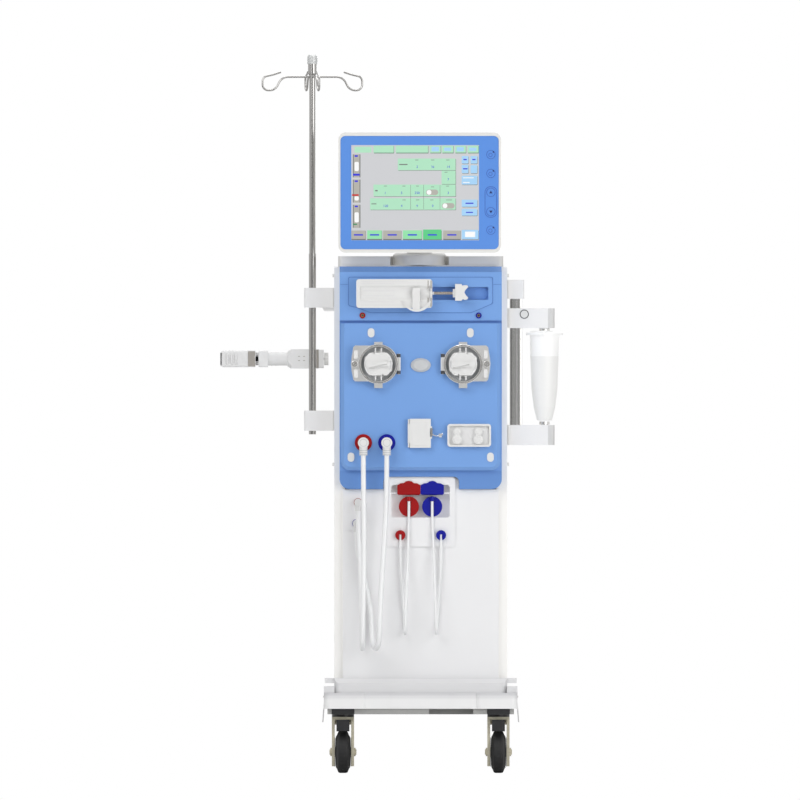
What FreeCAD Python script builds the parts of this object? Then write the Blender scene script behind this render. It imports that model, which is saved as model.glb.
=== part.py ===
import FreeCAD, Part
import math
import os

V = FreeCAD.Vector
ALONG_X = V(1, 0, 0)
ALONG_Y = V(0, 1, 0)
ALONG_Z = V(0, 0, 1)

# Sizes in millimetres. X is counted from the cabinet's centre line, Y from its mid depth, Z from the floor.
WALL = 4.0
RUN_GAP = 0.05
CABINET_HALF = 206.0
CABINET_FRONT = -200.0
CABINET_REAR = 210.0
CABINET_BOTTOM = 226.0
CABINET_TOP = 1205.0
UPRIGHT = 32.0
UPRIGHT_IN = CABINET_HALF - WALL - UPRIGHT
UPRIGHT_FRONT = -190.0
LIP_IN = CABINET_HALF - 26.0
LOWER_HALF = CABINET_HALF - 20.5
CHEEK_IN = CABINET_HALF - 13.0
MOUNT_PLATE_FRONT = -193.0

# Base and casters
PLATE_BOTTOM = 139.7
PLATE_TOP = 152.8
PLATE_HALF = CABINET_HALF + 16.0
TIER_HALF = CABINET_HALF + 24.4
TIER_TOP = 190.4
TIER_FRONT = -284.0
POD_FRONT = -290.0
TIER_REAR = 260.0
CASTER_X = CABINET_HALF - 21.0
CASTER_FRONT = -205.0
CASTER_REAR = 205.0
CASTER_TRAIL = 28.0
WHEEL_RADIUS = 50.0
WHEEL_HALF = 17.0
AXLE_RADIUS = 6.0
FORK_HALF = 26.5
FORK_INNER = FORK_HALF - 7.0
AXLE_END = FORK_HALF + 3.5
FORK_TOP = 133.5
PEDAL_HALF = 15.5
PEDAL_PIVOT = (-36.0, 118.0)

# Blue front panel
PANEL_HALF = CHEEK_IN
PANEL_TOP = 1205.5
PANEL_BOTTOM = 675.7
FACE_UPPER = -240.0
FACE_LOWER = -246.0
SKIRT_FACE = -225.0
RAISED_BOTTOM = 720.4
RAISED_TOP = 1070.0
UPPER_BOTTOM = 1077.0

# Lower front
LOWER_FACE = -212.0
BAY_FACE = -218.0
BAY_BACK = -190.0
BAY_X = (-85.0, 82.0)
BAY_Z = (539.0, 704.7)
RECESS_X = (-71.0, 70.0)
RECESS_Z = (607.0, 686.0)
FLAP_PIVOT = (-214.0, 666.0)

# Syringe pump
SURROUND_FACE = -240.6
CRADLE_X = (-153.3, 27.6)
CRADLE_Z = (1106.8, 1175.4)
CRADLE_FACE = -280.0
TROUGH_X = (27.6, 161.0)
TROUGH_Z = (1126.0, 1156.7)
DRIVE_ROD = (3.8, -249.0, 1142.0)
CLAMP_ROD = (3.0, -10.6, 1112.0)

# Roller pumps
PUMP_X = 100.7
PUMP_Z = 973.4
RACEWAY = 41.0
HOUSING_RADIUS = 47.4
HOUSING_FACE = -262.0
COVER_FACE = -268.0
COVER_HINGE = (52.5, -262.0)
ROTOR_RADIUS = 33.8
ROTOR_FACE = -276.0
SHAFT_RADIUS = 5.0
ROLLER_RADIUS = 8.0
ROLLER_PITCH = 28.0
CRANK_PIVOT = (-25.0, -280.0)

# Monitor
MONITOR_X = (-196.1, 190.9)
MONITOR_Z = (1238.3, 1524.4)
MONITOR_Y = (-262.0, -217.0)
SCREEN_X = (-165.4, 138.8)
SCREEN_Z = (1267.9, 1494.5)
BEZEL_X = (MONITOR_X[0] + 5.3, MONITOR_X[1] - 5.3)
BEZEL_Z = (MONITOR_Z[0] + 8.3, MONITOR_Z[1] - 8.3)
BEZEL_GAP = 0.3
NECK = (-2.6, -140.0)
TURRET_RADIUS = 63.5
TILT_PIVOT = (-190.0, 1330.0)
KEY_HEIGHTS = (1472.0, 1427.0, 1382.0, 1336.0, 1292.0)

# Infusion pole and dialyser holder
POLE = (-CABINET_HALF - 51.8, -100.0)
OUTER_RADIUS = 8.5
INNER_RADIUS = 7.5
OUTER_BOTTOM = 806.0
OUTER_TOP = 1236.0
INNER_BOTTOM = 900.0
HOOK_HEIGHT = 1656.7
COLLAR_BOTTOM = HOOK_HEIGHT + 8.3
CAP_BOTTOM = COLLAR_BOTTOM + 22.0
POLE_TOP = CAP_BOTTOM + 22.0
HOOK_WIRE = 2.4
HOOK_TURN = 8.0
HOLDER = (-85.0, 985.6)
KNOB_Y = -95.0
JAW_LEFT = POLE[0] - 219.2

# Cartridge station
POST_X = (CABINET_HALF + 6.0, CABINET_HALF + 29.5)
POST_Y = (-165.0, -135.0)
GUIDE = (2.8, POST_X[1] + 3.1, -150.0)
STATION_Y = (-173.0, -127.0)
CARTRIDGE = (CABINET_HALF + 88.6, -150.0)
LID_RADIUS = 44.0
STATION_END = CARTRIDGE[0] + 24.1
STATION_BUTTON_X = POST_X[1] + 11.0
STATION_ARM_Z = (1059.0, 1106.0)
STATION_FOOT_Z = (780.4, 828.2)
STATION_TOP_Z = (1128.6, 1173.8)

# Hoses
HOSE_RADIUS = 6.0
HOSE_INSERT = 10.0
TUBE_RADIUS = 3.25
RED_SOCKET = (-136.4, 785.9)
BLUE_SOCKET = (-80.8, 785.9)
RED_RETURN = (-149.0, 644.0)
BLUE_RETURN = (-153.0, 594.0)

# The parts are drawn about the cabinet's centre line and moved so that the whole stands centred on the origin.
REACH_LEFT = JAW_LEFT
REACH_RIGHT = CARTRIDGE[0] + LID_RADIUS
TO_ORIGIN = V(-(REACH_LEFT + REACH_RIGHT) / 2, -(POD_FRONT + TIER_REAR) / 2, 0)

PARTS = {}


def block(x, y, z):
    return Part.makeBox(x[1] - x[0], y[1] - y[0], z[1] - z[0], V(x[0], y[0], z[0]))


def rod_x(radius, x, y, z):
    return Part.makeCylinder(radius, x[1] - x[0], V(x[0], y, z), ALONG_X)


def rod_y(radius, x, y, z):
    return Part.makeCylinder(radius, y[1] - y[0], V(x, y[0], z), ALONG_Y)


def rod_z(radius, x, y, z):
    return Part.makeCylinder(radius, z[1] - z[0], V(x, y, z[0]), ALONG_Z)


def parallel(edge, along):
    ends = [v.Point for v in edge.Vertexes]
    if len(ends) != 2:
        return False
    return abs((ends[1] - ends[0]).normalize().dot(along)) > 0.99


def soft_block(x, y, z, radius, along):
    shape = block(x, y, z)
    return shape.makeFillet(radius, [e for e in shape.Edges if parallel(e, along)])


def plate_x(points, x):
    ring = [V(x[0], a, b) for a, b in points]
    return Part.Face(Part.makePolygon(ring + ring[:1])).extrude(V(x[1] - x[0], 0, 0))


def plate_y(points, y):
    ring = [V(a, y[0], b) for a, b in points]
    return Part.Face(Part.makePolygon(ring + ring[:1])).extrude(V(0, y[1] - y[0], 0))


def turned(profile, centre, along):
    ring = [V(radius, 0, height) for radius, height in profile]
    shape = Part.Face(Part.makePolygon(ring + ring[:1])).revolve(V(0, 0, 0), ALONG_Z, 360)
    shape.Placement = FreeCAD.Placement(centre, FreeCAD.Rotation(ALONG_Z, along))
    return shape


def join(first, *others):
    return first.fuse(list(others)).removeSplitter()


def cut(shape, *tools):
    return shape.cut(list(tools))


def both(shape):
    return [shape, shape.mirror(V(0, 0, 0), ALONG_X)]


def moved(shape, x, y, z):
    copy = shape.copy()
    copy.translate(V(x, y, z))
    return copy


def rounded_path(points, share=0.45):
    edges = []
    radii = []
    start = points[0]
    for before, corner, after in zip(points, points[1:], points[2:]):
        into = (corner - before).normalize()
        out = (after - corner).normalize()
        half = into.getAngle(out) / 2
        reach = share * min(corner.distanceToPoint(before), corner.distanceToPoint(after))
        radius = reach / math.tan(half)
        first = corner - into * reach
        last = corner + out * reach
        middle = corner + (out - into).normalize() * (radius / math.cos(half) - radius)
        edges.append(Part.LineSegment(start, first).toShape())
        edges.append(Part.Arc(first, middle, last).toShape())
        radii.append(radius)
        start = last
    edges.append(Part.LineSegment(start, points[-1]).toShape())
    return Part.Wire(edges), radii


def round_wire(points, radius):
    path, radii = rounded_path(points)
    start = (points[1] - points[0]).normalize()
    ring = Part.Wire(Part.makeCircle(radius, points[0], start))
    shape = path.makePipeShell([ring], True, False)
    return shape, path, radii


def put(name, *solids):
    PARTS[name] = solids[0] if len(solids) == 1 else Part.makeCompound(list(solids))


# Chassis
def base_plate():
    plate = block((-PLATE_HALF, PLATE_HALF), (-280, 250), (PLATE_BOTTOM, PLATE_TOP))
    tools = [block((20, 125), (-281, -190), (130, 160))]
    for x in (-CASTER_X, CASTER_X):
        for y in (CASTER_FRONT, CASTER_REAR):
            tools.append(rod_z(30, x, y, (PLATE_BOTTOM - 1, 147)))
            tools.append(rod_z(AXLE_RADIUS + RUN_GAP, x, y, (140, 160)))
    return cut(plate, *tools)


def upright(x, y):
    outer = block((x, x + UPRIGHT), (y, y + UPRIGHT), (PLATE_TOP, CABINET_TOP))
    inner = block((x + 2, x + UPRIGHT - 2), (y + 2, y + UPRIGHT - 2), (PLATE_TOP + 3, CABINET_TOP - 3))
    return outer.cut(inner)


def make_chassis():
    rear = CABINET_REAR - WALL - UPRIGHT
    inside = (-UPRIGHT_IN, UPRIGHT_IN)
    members = [upright(x, y) for x in (-UPRIGHT_IN - UPRIGHT, UPRIGHT_IN) for y in (UPRIGHT_FRONT, rear)]
    shelf_y = (UPRIGHT_FRONT + 16, rear + 16)
    members.append(block(inside, shelf_y, (229, 232)))
    deck_rails = [block(inside, (y, y + 16), (690, 702)) for y in (UPRIGHT_FRONT, rear + 12)]
    members.append(join(block(inside, shelf_y, (700, 703)), *deck_rails))
    top_front, top_rear = [block(inside, (y, y + 16), (1175, CABINET_TOP)) for y in (UPRIGHT_FRONT, rear + 12)]
    members.append(top_rear)
    members.extend(both(block((UPRIGHT_IN, UPRIGHT_IN + 16), (UPRIGHT_FRONT + UPRIGHT, rear), (1185, CABINET_TOP))))
    members.append(block((-CABINET_HALF + WALL, CABINET_HALF - WALL), (MOUNT_PLATE_FRONT, UPRIGHT_FRONT), (860, 1160)))
    neck_x, neck_y = NECK
    bearing = block((neck_x - 35, neck_x + 35), (UPRIGHT_FRONT + 15, neck_y + 35), (1160, CABINET_TOP))
    members.append(cut(join(top_front, bearing), rod_z(20 + RUN_GAP, neck_x, neck_y, (1150, 1210))))
    put("chassis_frame", base_plate(), *members)


# Covers
def tier_shell():
    outer = soft_block((-TIER_HALF, TIER_HALF), (TIER_FRONT, TIER_REAR), (PLATE_TOP, TIER_TOP), 30, ALONG_Z)
    pod = soft_block((TIER_HALF - 101.4, TIER_HALF), (POD_FRONT, -180), (PLATE_TOP, TIER_TOP), 14, ALONG_Z)
    outer = join(outer, *both(pod))
    inner = soft_block((-TIER_HALF + WALL, TIER_HALF - WALL), (TIER_FRONT + WALL, TIER_REAR - WALL), (150, TIER_TOP - WALL), 27, ALONG_Z)
    return cut(outer, inner)


def make_base_cover():
    shell = tier_shell()
    shoulder = block((CABINET_HALF - 1, TIER_HALF), (-262, 232), (TIER_TOP - WALL, 207))
    rail = block((CABINET_HALF - 1, TIER_HALF - 1.9), (-232, 205), (214, CABINET_BOTTOM))
    flare = [(0, 172), (1.6, PLATE_TOP), (4.1, 121), (1.3, 121), (-1.4, PLATE_TOP), (0, PLATE_TOP)]
    flare = [(TIER_HALF + x, z) for x, z in flare]
    skirts = both(plate_y(flare, (-112, 112)))
    upper = soft_block((-CABINET_HALF, CABINET_HALF), (-248, 216), (TIER_TOP - WALL, CABINET_BOTTOM), 14, ALONG_Z)
    foot = block((PLATE_HALF - 16, PLATE_HALF - 1), (-8, 8), (PLATE_TOP, TIER_TOP - 1))
    feet = [moved(foot, 0, y, 0) for y in (-240, 0, 235)]
    solids = []
    for piece in [shoulder, rail] + feet:
        solids.extend(both(piece))
    body = join(shell, upper, *solids)
    opening = block((-CABINET_HALF + WALL, CABINET_HALF - WALL), (UPRIGHT_FRONT, CABINET_REAR - WALL), (180, 230))
    front_room = block((-CABINET_HALF + WALL, CABINET_HALF - WALL), (-234, UPRIGHT_FRONT + 1), (180, CABINET_BOTTOM - WALL))
    bevel = plate_x([(-250, 212), (-250, 230), (-234, 230), (-248, 214)], (-CABINET_HALF - 4, CABINET_HALF + 4))
    seams = [block((x - 0.8, x + 0.8), (TIER_FRONT - 1, TIER_FRONT + 1), (PLATE_TOP, TIER_TOP)) for x in (-72, 69)]
    put("base_cover", cut(body, opening, front_room, bevel, *seams), *skirts)


def make_covers():
    side = block((CABINET_HALF - WALL, CABINET_HALF), (CABINET_FRONT, CABINET_REAR), (CABINET_BOTTOM, CABINET_TOP))
    front_lip = block((LIP_IN, CABINET_HALF), (CABINET_FRONT, CABINET_FRONT + WALL), (CABINET_BOTTOM, CABINET_TOP))
    rear_lip = block((LOWER_HALF + 0.5, CABINET_HALF), (CABINET_REAR - WALL, CABINET_REAR), (CABINET_BOTTOM, CABINET_TOP))
    put("side_covers", *both(join(side, front_lip, rear_lip)))
    rear = block((-LOWER_HALF, LOWER_HALF), (CABINET_REAR - WALL, CABINET_REAR), (CABINET_BOTTOM, CABINET_TOP))
    vents = [block((-120, 120), (200, 215), (z, z + 6)) for z in range(1000, 1120, 16)]
    holes = [rod_y(9, x, (200, 215), 300) for x in (-60, 60)]
    inlet = block((-24, 24), (CABINET_REAR, CABINET_REAR + 12), (740, 790))
    socket = block((-16, 16), (CABINET_REAR + 2, CABINET_REAR + 13), (752, 778))
    put("rear_cover", join(cut(rear, *vents, *holes), inlet.cut(socket)))


def make_top_cover():
    half = CABINET_HALF - 9.5
    outer = soft_block((-half, half), (-196, CABINET_REAR - WALL), (CABINET_TOP, 1230), 10, ALONG_Z)
    tray = soft_block((-half + 8.5, half - 8.5), (-58, 198), (1222, 1231), 8, ALONG_Z)
    under = block((-half + 4.5, half - 4.5), (-58, 202), (1204, 1218))
    corner = block((78, half - 4.5), (-190, -62), (1204, 1226))
    neck_x, neck_y = NECK
    pocket = rod_z(TURRET_RADIUS + 6, neck_x, neck_y, (CABINET_TOP + WALL, 1231))
    mouth = block((neck_x - TURRET_RADIUS - 6, neck_x + TURRET_RADIUS + 6), (-200, neck_y), (CABINET_TOP + WALL, 1231))
    spindle = rod_z(21, neck_x, neck_y, (1200, 1212))
    put("top_cover", cut(outer, tray, under, pocket, mouth, spindle, *both(corner)))


# Blue front panel
def round_bottom(x, y, z, radius):
    lower = soft_block(x, y, (z[0], z[0] + 5 * radius), radius, ALONG_Y)
    upper = block(x, y, (z[0] + 3 * radius, z[1]))
    return join(lower, upper)


def raised_face():
    face = round_bottom((-PANEL_HALF + 3, PANEL_HALF - 3), (FACE_LOWER, SKIRT_FACE), (RAISED_BOTTOM, RAISED_TOP), 22)
    rim = [e for e in face.Edges if e.BoundBox.YMax < FACE_LOWER + 0.01 and e.BoundBox.ZMax < RAISED_TOP - 0.1]
    sides = [e for e in face.Edges if e.BoundBox.YMax < FACE_LOWER + 0.01 and parallel(e, ALONG_Z)]
    edges = rim + [e for e in sides if not any(e.isSame(other) for other in rim)]
    return face.makeChamfer(8, edges)


def surround_outline(inset):
    left, right, low, high = -172.6 + inset, 172.0 - inset, 1094.8 + inset, 1180.8 - inset
    lower = [(left, 1112 + inset), (-148, 1106 + inset), (-120 + inset, low), (120 - inset, low)]
    return lower + [(140, 1103 + inset), (right, 1117 + inset), (right, high - 8), (right - 8, high), (left, high)]


def make_front_panel():
    skirt = round_bottom((-PANEL_HALF, PANEL_HALF), (SKIRT_FACE, CABINET_FRONT), (PANEL_BOTTOM, PANEL_TOP), 24)
    upper = block((-PANEL_HALF, PANEL_HALF), (FACE_UPPER, SKIRT_FACE), (UPPER_BOTTOM, PANEL_TOP))
    groove = block((-PANEL_HALF, PANEL_HALF), (-234, SKIRT_FACE), (RAISED_TOP, UPPER_BOTTOM))
    body = join(skirt, raised_face(), upper, groove)
    tools = [plate_x([(-241, 1193), (-241, 1207), (-227, 1207), (-227, 1205.5), (FACE_UPPER, 1193)], (-PANEL_HALF - 7, PANEL_HALF + 7))]
    tools.append(round_bottom((-PANEL_HALF + WALL, PANEL_HALF - WALL), (SKIRT_FACE + WALL, -199), (PANEL_BOTTOM + WALL, 1201.5), 20))
    tools.append(round_bottom((-PANEL_HALF + 13, PANEL_HALF - 13), (FACE_LOWER + WALL, SKIRT_FACE + 5), (731, 1064), 16))
    tools.append(block((-PANEL_HALF + WALL, PANEL_HALF - WALL), (FACE_UPPER + WALL, SKIRT_FACE + 5), (1081, 1190)))
    tools.append(soft_block((-89, 91), (-230, -195), (640, 705), 12, ALONG_Y))
    tools.append(plate_y(surround_outline(0), (-241, -238)))
    tools.append(block((25, 163.6), (-241, -230), (1123, 1159.6)))
    for x in (-PUMP_X, PUMP_X):
        tools.append(rod_y(8, x, (-250, -240), PUMP_Z))
    for x, z in (RED_SOCKET, BLUE_SOCKET):
        tools.append(rod_y(9, x, (-250, -240), z))
    for x in (-138.5, 138):
        tools.append(rod_y(4, x, (-245, -230), 1089))
    surround = plate_y(surround_outline(0.5), (SURROUND_FACE, -238))
    trough = block((26, 162.6), (-238, -222), (1124.4, 1158.3))
    room = block(TROUGH_X, (-242, -223.6), TROUGH_Z)
    bores = [rod_y(9, -60, (-245, -230), 1140)]
    put("front_panel", cut(body, *tools), cut(join(surround, trough), room, *bores))


def make_lower_panel():
    outer = block((-LOWER_HALF, LOWER_HALF), (LOWER_FACE, CABINET_FRONT), (CABINET_BOTTOM, 675))
    tongue = soft_block((-88.5, 90.5), (LOWER_FACE, CABINET_FRONT), (600, 704.5), 11.5, ALONG_Y)
    inner = block((-LOWER_HALF + WALL, LOWER_HALF - WALL), (LOWER_FACE + WALL, -195), (CABINET_BOTTOM + WALL, 671))
    notch = block((RECESS_X[0] - 5, RECESS_X[1] + 5), (-215, -195), (RECESS_Z[0] - 4, RECESS_Z[1] + 4))
    plate = soft_block((-185, -136), (LOWER_FACE - WALL, LOWER_FACE), (577.6, 663.3), 5, ALONG_Y)
    put("lower_front_panel", cut(join(outer, tongue), inner, notch), plate)


def make_connector_bay():
    face = soft_block(BAY_X, (BAY_FACE, LOWER_FACE), BAY_Z, 8, ALONG_Y)
    box = block((RECESS_X[0] - 3, RECESS_X[1] + 3), (LOWER_FACE, BAY_BACK), (RECESS_Z[0] - 3, RECESS_Z[1] + 3))
    recess = soft_block(RECESS_X, (-225, BAY_BACK - 3), RECESS_Z, 10, ALONG_Y)
    ports = [rod_y(6, x, (-200, -185), 680) for x in (-28, 27.3)]
    shaft = rod_x(2, (RECESS_X[0] - 1, RECESS_X[1] + 1), *FLAP_PIVOT)
    put("connector_bay", join(cut(join(face, box), recess, *ports), shaft))


def make_flap(name, x):
    middle = (x[0] + x[1]) / 2
    pivot_y, pivot_z = FLAP_PIVOT
    outline = [(x[0], 663.5), (x[1], 663.5), (x[1], 685), (x[1] - 8, 689.5), (middle + 12, 690)]
    outline += [(middle + 7, 694), (middle, 695.4), (middle - 7, 694), (middle - 12, 690), (x[0] + 8, 689.5), (x[0], 685)]
    lid = plate_y(outline, (pivot_y - 7, pivot_y - 4))
    hub = rod_x(4.5, (x[0] + 2, x[1] - 2), pivot_y, pivot_z)
    lid = join(lid, hub)
    put(name, cut(lid, rod_x(2 + RUN_GAP, (x[0] - 1, x[1] + 1), pivot_y, pivot_z)))


# Ports and fittings
def luer_port(x):
    ring = rod_y(7, x, (FACE_UPPER - 4, FACE_UPPER), 1089)
    stub = rod_y(3.8, x, (FACE_UPPER, FACE_UPPER + 12), 1089)
    return cut(join(ring, stub), rod_y(2.2, x, (-250, -225), 1089))


def suction_connector(x):
    disc = rod_y(24, x, (-216, -193), 634)
    neck = block((x - 10, x + 10), (-216, -193), (647, 657))
    groove = rod_z(TUBE_RADIUS + 0.6, x, -216, (600, 652))
    socket = rod_z(5.5, x, -219, (647, 657))
    bore = rod_z(TUBE_RADIUS, x, -219, (640, 653))
    return cut(join(cut(join(disc, neck), groove), socket), bore)


def park_clip(x):
    disc = rod_y(12, x, (BAY_FACE - 10, BAY_FACE), 566)
    socket = rod_z(TUBE_RADIUS, x, BAY_FACE - 5, (550, 568))
    slot = block((x - TUBE_RADIUS, x + TUBE_RADIUS), (BAY_FACE - 11, BAY_FACE - 5), (550, 568))
    return cut(disc, socket, slot)


def make_ports():
    for name, side, socket, back in (
        ("red_ports", -1, RED_SOCKET, RED_RETURN),
        ("blue_ports", 1, BLUE_SOCKET, BLUE_RETURN),
    ):
        luer = luer_port(-138.5 if side < 0 else 138)
        ring = rod_y(20.5, socket[0], (FACE_LOWER - 4, FACE_LOWER), socket[1])
        ring = cut(ring, rod_y(13.2, socket[0], (-260, FACE_LOWER - 2), socket[1]))
        collar = rod_y(10, back[0], (LOWER_FACE - WALL - 3, LOWER_FACE - WALL), back[1])
        connector = suction_connector(-28 if side < 0 else 27.3)
        put(name, luer, ring, collar, connector, park_clip(side * 48.5))


def elbow(x, z, face, centre_y, head, tip, drop):
    body = rod_y(head, x, (centre_y - tip - 2, face), z)
    spout = rod_z(tip, x, centre_y, (z - drop, z + 1))
    bore = rod_z(HOSE_RADIUS, x, centre_y, (z - drop, z - drop + HOSE_INSERT))
    return cut(join(body, spout), bore)


def make_elbows():
    fronts = [elbow(x, z, FACE_LOWER - 2, -274, 12.9, 9.7, 30) for x, z in (RED_SOCKET, BLUE_SOCKET)]
    red = elbow(*RED_RETURN, LOWER_FACE - WALL - 3, -244, 9, 8.2, 20)
    blue = elbow(*BLUE_RETURN, LOWER_FACE - WALL - 3, -226, 9, 7, 20)
    put("hose_elbows", *fronts, red, blue)


def make_hose(name, points, radius):
    shape, path, radii = round_wire([V(*p) for p in points], radius)
    section = math.pi * radius * radius
    print(name, "length", round(path.Length, 1), "radii", [round(r, 1) for r in radii])
    print(name, "volume ratio", round(shape.Volume / (section * path.Length), 4))
    put(name, shape)


def turn_back(front, rear, low, share):
    (x0, y0), (x1, y1) = front, rear
    span = math.hypot(x1 - x0, y1 - y0)
    drop = span * share
    steps = ((0, drop), (share, 0), (1 - share, 0), (1, drop))
    return [(x0 + (x1 - x0) * t, y0 + (y1 - y0) * t, low + up) for t, up in steps]


def make_hoses():
    share = 0.293
    red = [(-136.4, -274, 765.9), (-136.4, -274, 700), (-135.2, -283, 620), (-134.6, -301, 500), (-137, -322, 385)]
    red += turn_back((-138.4, -322), (-139.6, -241), 296, share)
    red += [(-140.5, -241, 385), (-143.5, -241.5, 490), (-149, -244, 578), (-149, -244, 634)]
    make_hose("dialysate_hose_red", red, HOSE_RADIUS)
    blue = [(-80.8, -274, 765.9), (-80.8, -274, 700), (-82.6, -281, 620), (-90, -293, 500), (-97.5, -306, 385)]
    blue += turn_back((-98, -306), (-116.4, -227), 296, share)
    blue += [(-117.5, -227, 380), (-131, -226, 450), (-153, -226, 530), (-153, -226, 584)]
    make_hose("dialysate_hose_blue", blue, HOSE_RADIUS)
    for name, side, top_x in (("suction_tube_red", -1, -28), ("suction_tube_blue", 1, 27.3)):
        points = [(top_x, -219, 653), (top_x, -219, 638), (top_x * 1.01, -223.2, 606), (side * 30.5, -229, 530)]
        points += [(side * 33.5, -243, 450), (side * 36, -262.5, 378)]
        points += turn_back((side * 36.4, -262.5), (side * 38.6, -218.6), 331, share)
        points += [(side * 39.5, -218.6, 378), (side * 44, -223, 440), (side * 48.5, -223, 500)]
        points += [(side * 48.5, -223, 568)]
        make_hose(name, points, TUBE_RADIUS)


# Small pieces on the front
def make_front_trim():
    caps = []
    for x, z in ((118, 1047.7), (166, 751.6)):
        cap = soft_block((x - 8, x + 8), (FACE_LOWER - 3, FACE_LOWER), (z - 11, z + 11), 7.9, ALONG_Y)
        caps.extend(both(cap))
    for z in (1184, 735):
        caps.extend(both(rod_x(4, (CABINET_HALF, 210), -188, z)))
    put("screw_covers", *caps)
    middle = turned([(0, 0), (16.6, 0), (16.6, 4), (12, 9), (0, 11)], V(0, FACE_LOWER, 970.8), V(0, -1, 0))
    stretch = FreeCAD.Matrix()
    stretch.A11 = 23.8 / 16.6
    put("oval_holder", middle.transformGeometry(stretch))
    slab = soft_block((63.5, 167.4), (FACE_LOWER - 16, FACE_LOWER), (776.4, 830.7), 7, ALONG_Y)
    room = soft_block((68, 163), (FACE_LOWER - 17, FACE_LOWER - 8), (781, 826), 4, ALONG_Y)
    pegs = []
    for x in (86.6, 137.3):
        pegs.append(rod_y(11.6, x, (FACE_LOWER - 17, FACE_LOWER - 7), 794))
        pegs.append(rod_y(9.4, x, (FACE_LOWER - 17, FACE_LOWER - 7), 813))
        pegs.append(block((x - 6.5, x + 6.5), (FACE_LOWER - 17, FACE_LOWER - 7), (794, 813)))
    put("tube_clip_block", join(cut(slab, room), *pegs))


def make_detector():
    base = block((-26.3, 24.2), (FACE_LOWER - 8, FACE_LOWER), (774, 843))
    channel = block((-5, 3), (FACE_LOWER - 9, FACE_LOWER - 2), (773, 844))
    lug = join(block((-30.5, -26.3), (-259.5, FACE_LOWER), (775, 785)), rod_z(2.1, -28.4, -259.5, (775, 785)))
    lugs = [lug, moved(lug, 0, 0, 57)]
    pin = rod_z(1.5, -28.4, -259.5, (778, 839))
    clear = rod_z(3.2, -28.4, -259.5, (785, 832))
    catch = block((43, 50), (FACE_LOWER - 9, FACE_LOWER), (799, 807))
    body = join(cut(join(cut(base, channel), *lugs), clear), pin)
    put("detector_body", body, catch)
    door = block((-26, 24.2), (-263, -254.3), (774, 843))
    corners = soft_block((-60, 24.2), (-270, -250), (774, 843), 7, ALONG_Y)
    knuckle = rod_z(2.8, -28.4, -259.5, (785.4, 831.6))
    web = block((-28.4, -25), (-262.3, -256.7), (785.4, 831.6))
    ears = [block((-30.8, -25.6), (-264, -250), z) for z in ((773, 785.3), (831.7, 844))]
    hub = rod_z(1, 26, -259, (797, 824))
    brackets = [block((23.5, 27), (-261, -257), z) for z in ((796, 800), (821, 825))]
    latch_room = [block((22, 30), (-264, -254), (800.2, 820.8)), rod_z(1.5 + RUN_GAP, -28.4, -259.5, (770, 850))]
    door = join(door.common(corners), knuckle, web)
    door = cut(door, *ears, *latch_room)
    put("detector_door", join(door, hub, *brackets))
    plate = block((23.4, 28.2), (-262, -256), (801, 820))
    arm = round_wire([V(28, -259, 806), V(36, -259, 801.5), V(44, -259, 803.5), V(52.4, -259, 808.5)], 1.2)[0]
    grip = rod_x(2.4, (44, 52.4), -259, 805.5)
    put("detector_latch", cut(join(plate, arm, grip), rod_z(1 + RUN_GAP, 26, -259, (790, 830))))


# Roller pumps
def pump_outline(y):
    end = [(PUMP_X, 932), (156, 932), (160.5, 936), (164.5, 957), (166, PUMP_Z), (164.5, 990), (160.5, 1013.5)]
    end += [(156, 1017.5), (PUMP_X, 1017.5)]
    lugs = [block((PUMP_X - 10, PUMP_X + 10), y, z) for z in ((1005, 1026), (916, 945))]
    return join(rod_y(HOUSING_RADIUS, PUMP_X, y, PUMP_Z), plate_y(end, y), *lugs)


def make_housing():
    hinge_x, hinge_y = COVER_HINGE
    body = pump_outline((HOUSING_FACE, FACE_LOWER))
    for z in ((949, 957.5), (989.3, 997.8)):
        lug = block((hinge_x - 4.5, hinge_x + 4.5), (hinge_y, FACE_LOWER), z)
        body = join(body, lug, rod_z(4.5, hinge_x, hinge_y, z))
    tools = [rod_y(RACEWAY, PUMP_X, (-270, -249), PUMP_Z), rod_y(6.5, PUMP_X, (-270, -240), PUMP_Z)]
    tools.append(rod_z(5.2, hinge_x, hinge_y, (957.5, 989.3)))
    for z in ((1005, 1030), (910, 942)):
        tools.append(block((PUMP_X - 7, PUMP_X + 7), (-270, -252), z))
    body = cut(body, *tools)
    body = join(body, rod_z(2, hinge_x, hinge_y, (950, 997)))
    motor = rod_y(30, PUMP_X, (FACE_LOWER + WALL, MOUNT_PLATE_FRONT), PUMP_Z)
    motor = cut(motor, rod_y(SHAFT_RADIUS + RUN_GAP, PUMP_X, (-245, -202), PUMP_Z))
    return [body, motor]


def make_pump_cover():
    hinge_x, hinge_y = COVER_HINGE
    plate = pump_outline((COVER_FACE, HOUSING_FACE - 0.2))
    plate = join(plate, block((51, 62), (COVER_FACE, HOUSING_FACE - 0.2), (958, 988.8)))
    knuckle = rod_z(4.5, hinge_x, hinge_y, (958, 988.8))
    tools = [rod_y(RACEWAY, PUMP_X, (-270, -255), PUMP_Z)]
    tools += [block((44, 59), (-270, -255), z) for z in ((940, 957.8), (989, 1005))]
    knob = rod_y(8.6, 157.4, (COVER_FACE - 6, COVER_FACE), PUMP_Z)
    pads = [block((149, 160), (COVER_FACE - 2, COVER_FACE), z) for z in ((940, 962), (985, 1007))]
    body = cut(join(cut(plate, *tools), knuckle), rod_z(2 + RUN_GAP, hinge_x, hinge_y, (940, 1000)))
    return join(body, knob, *pads)


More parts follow.
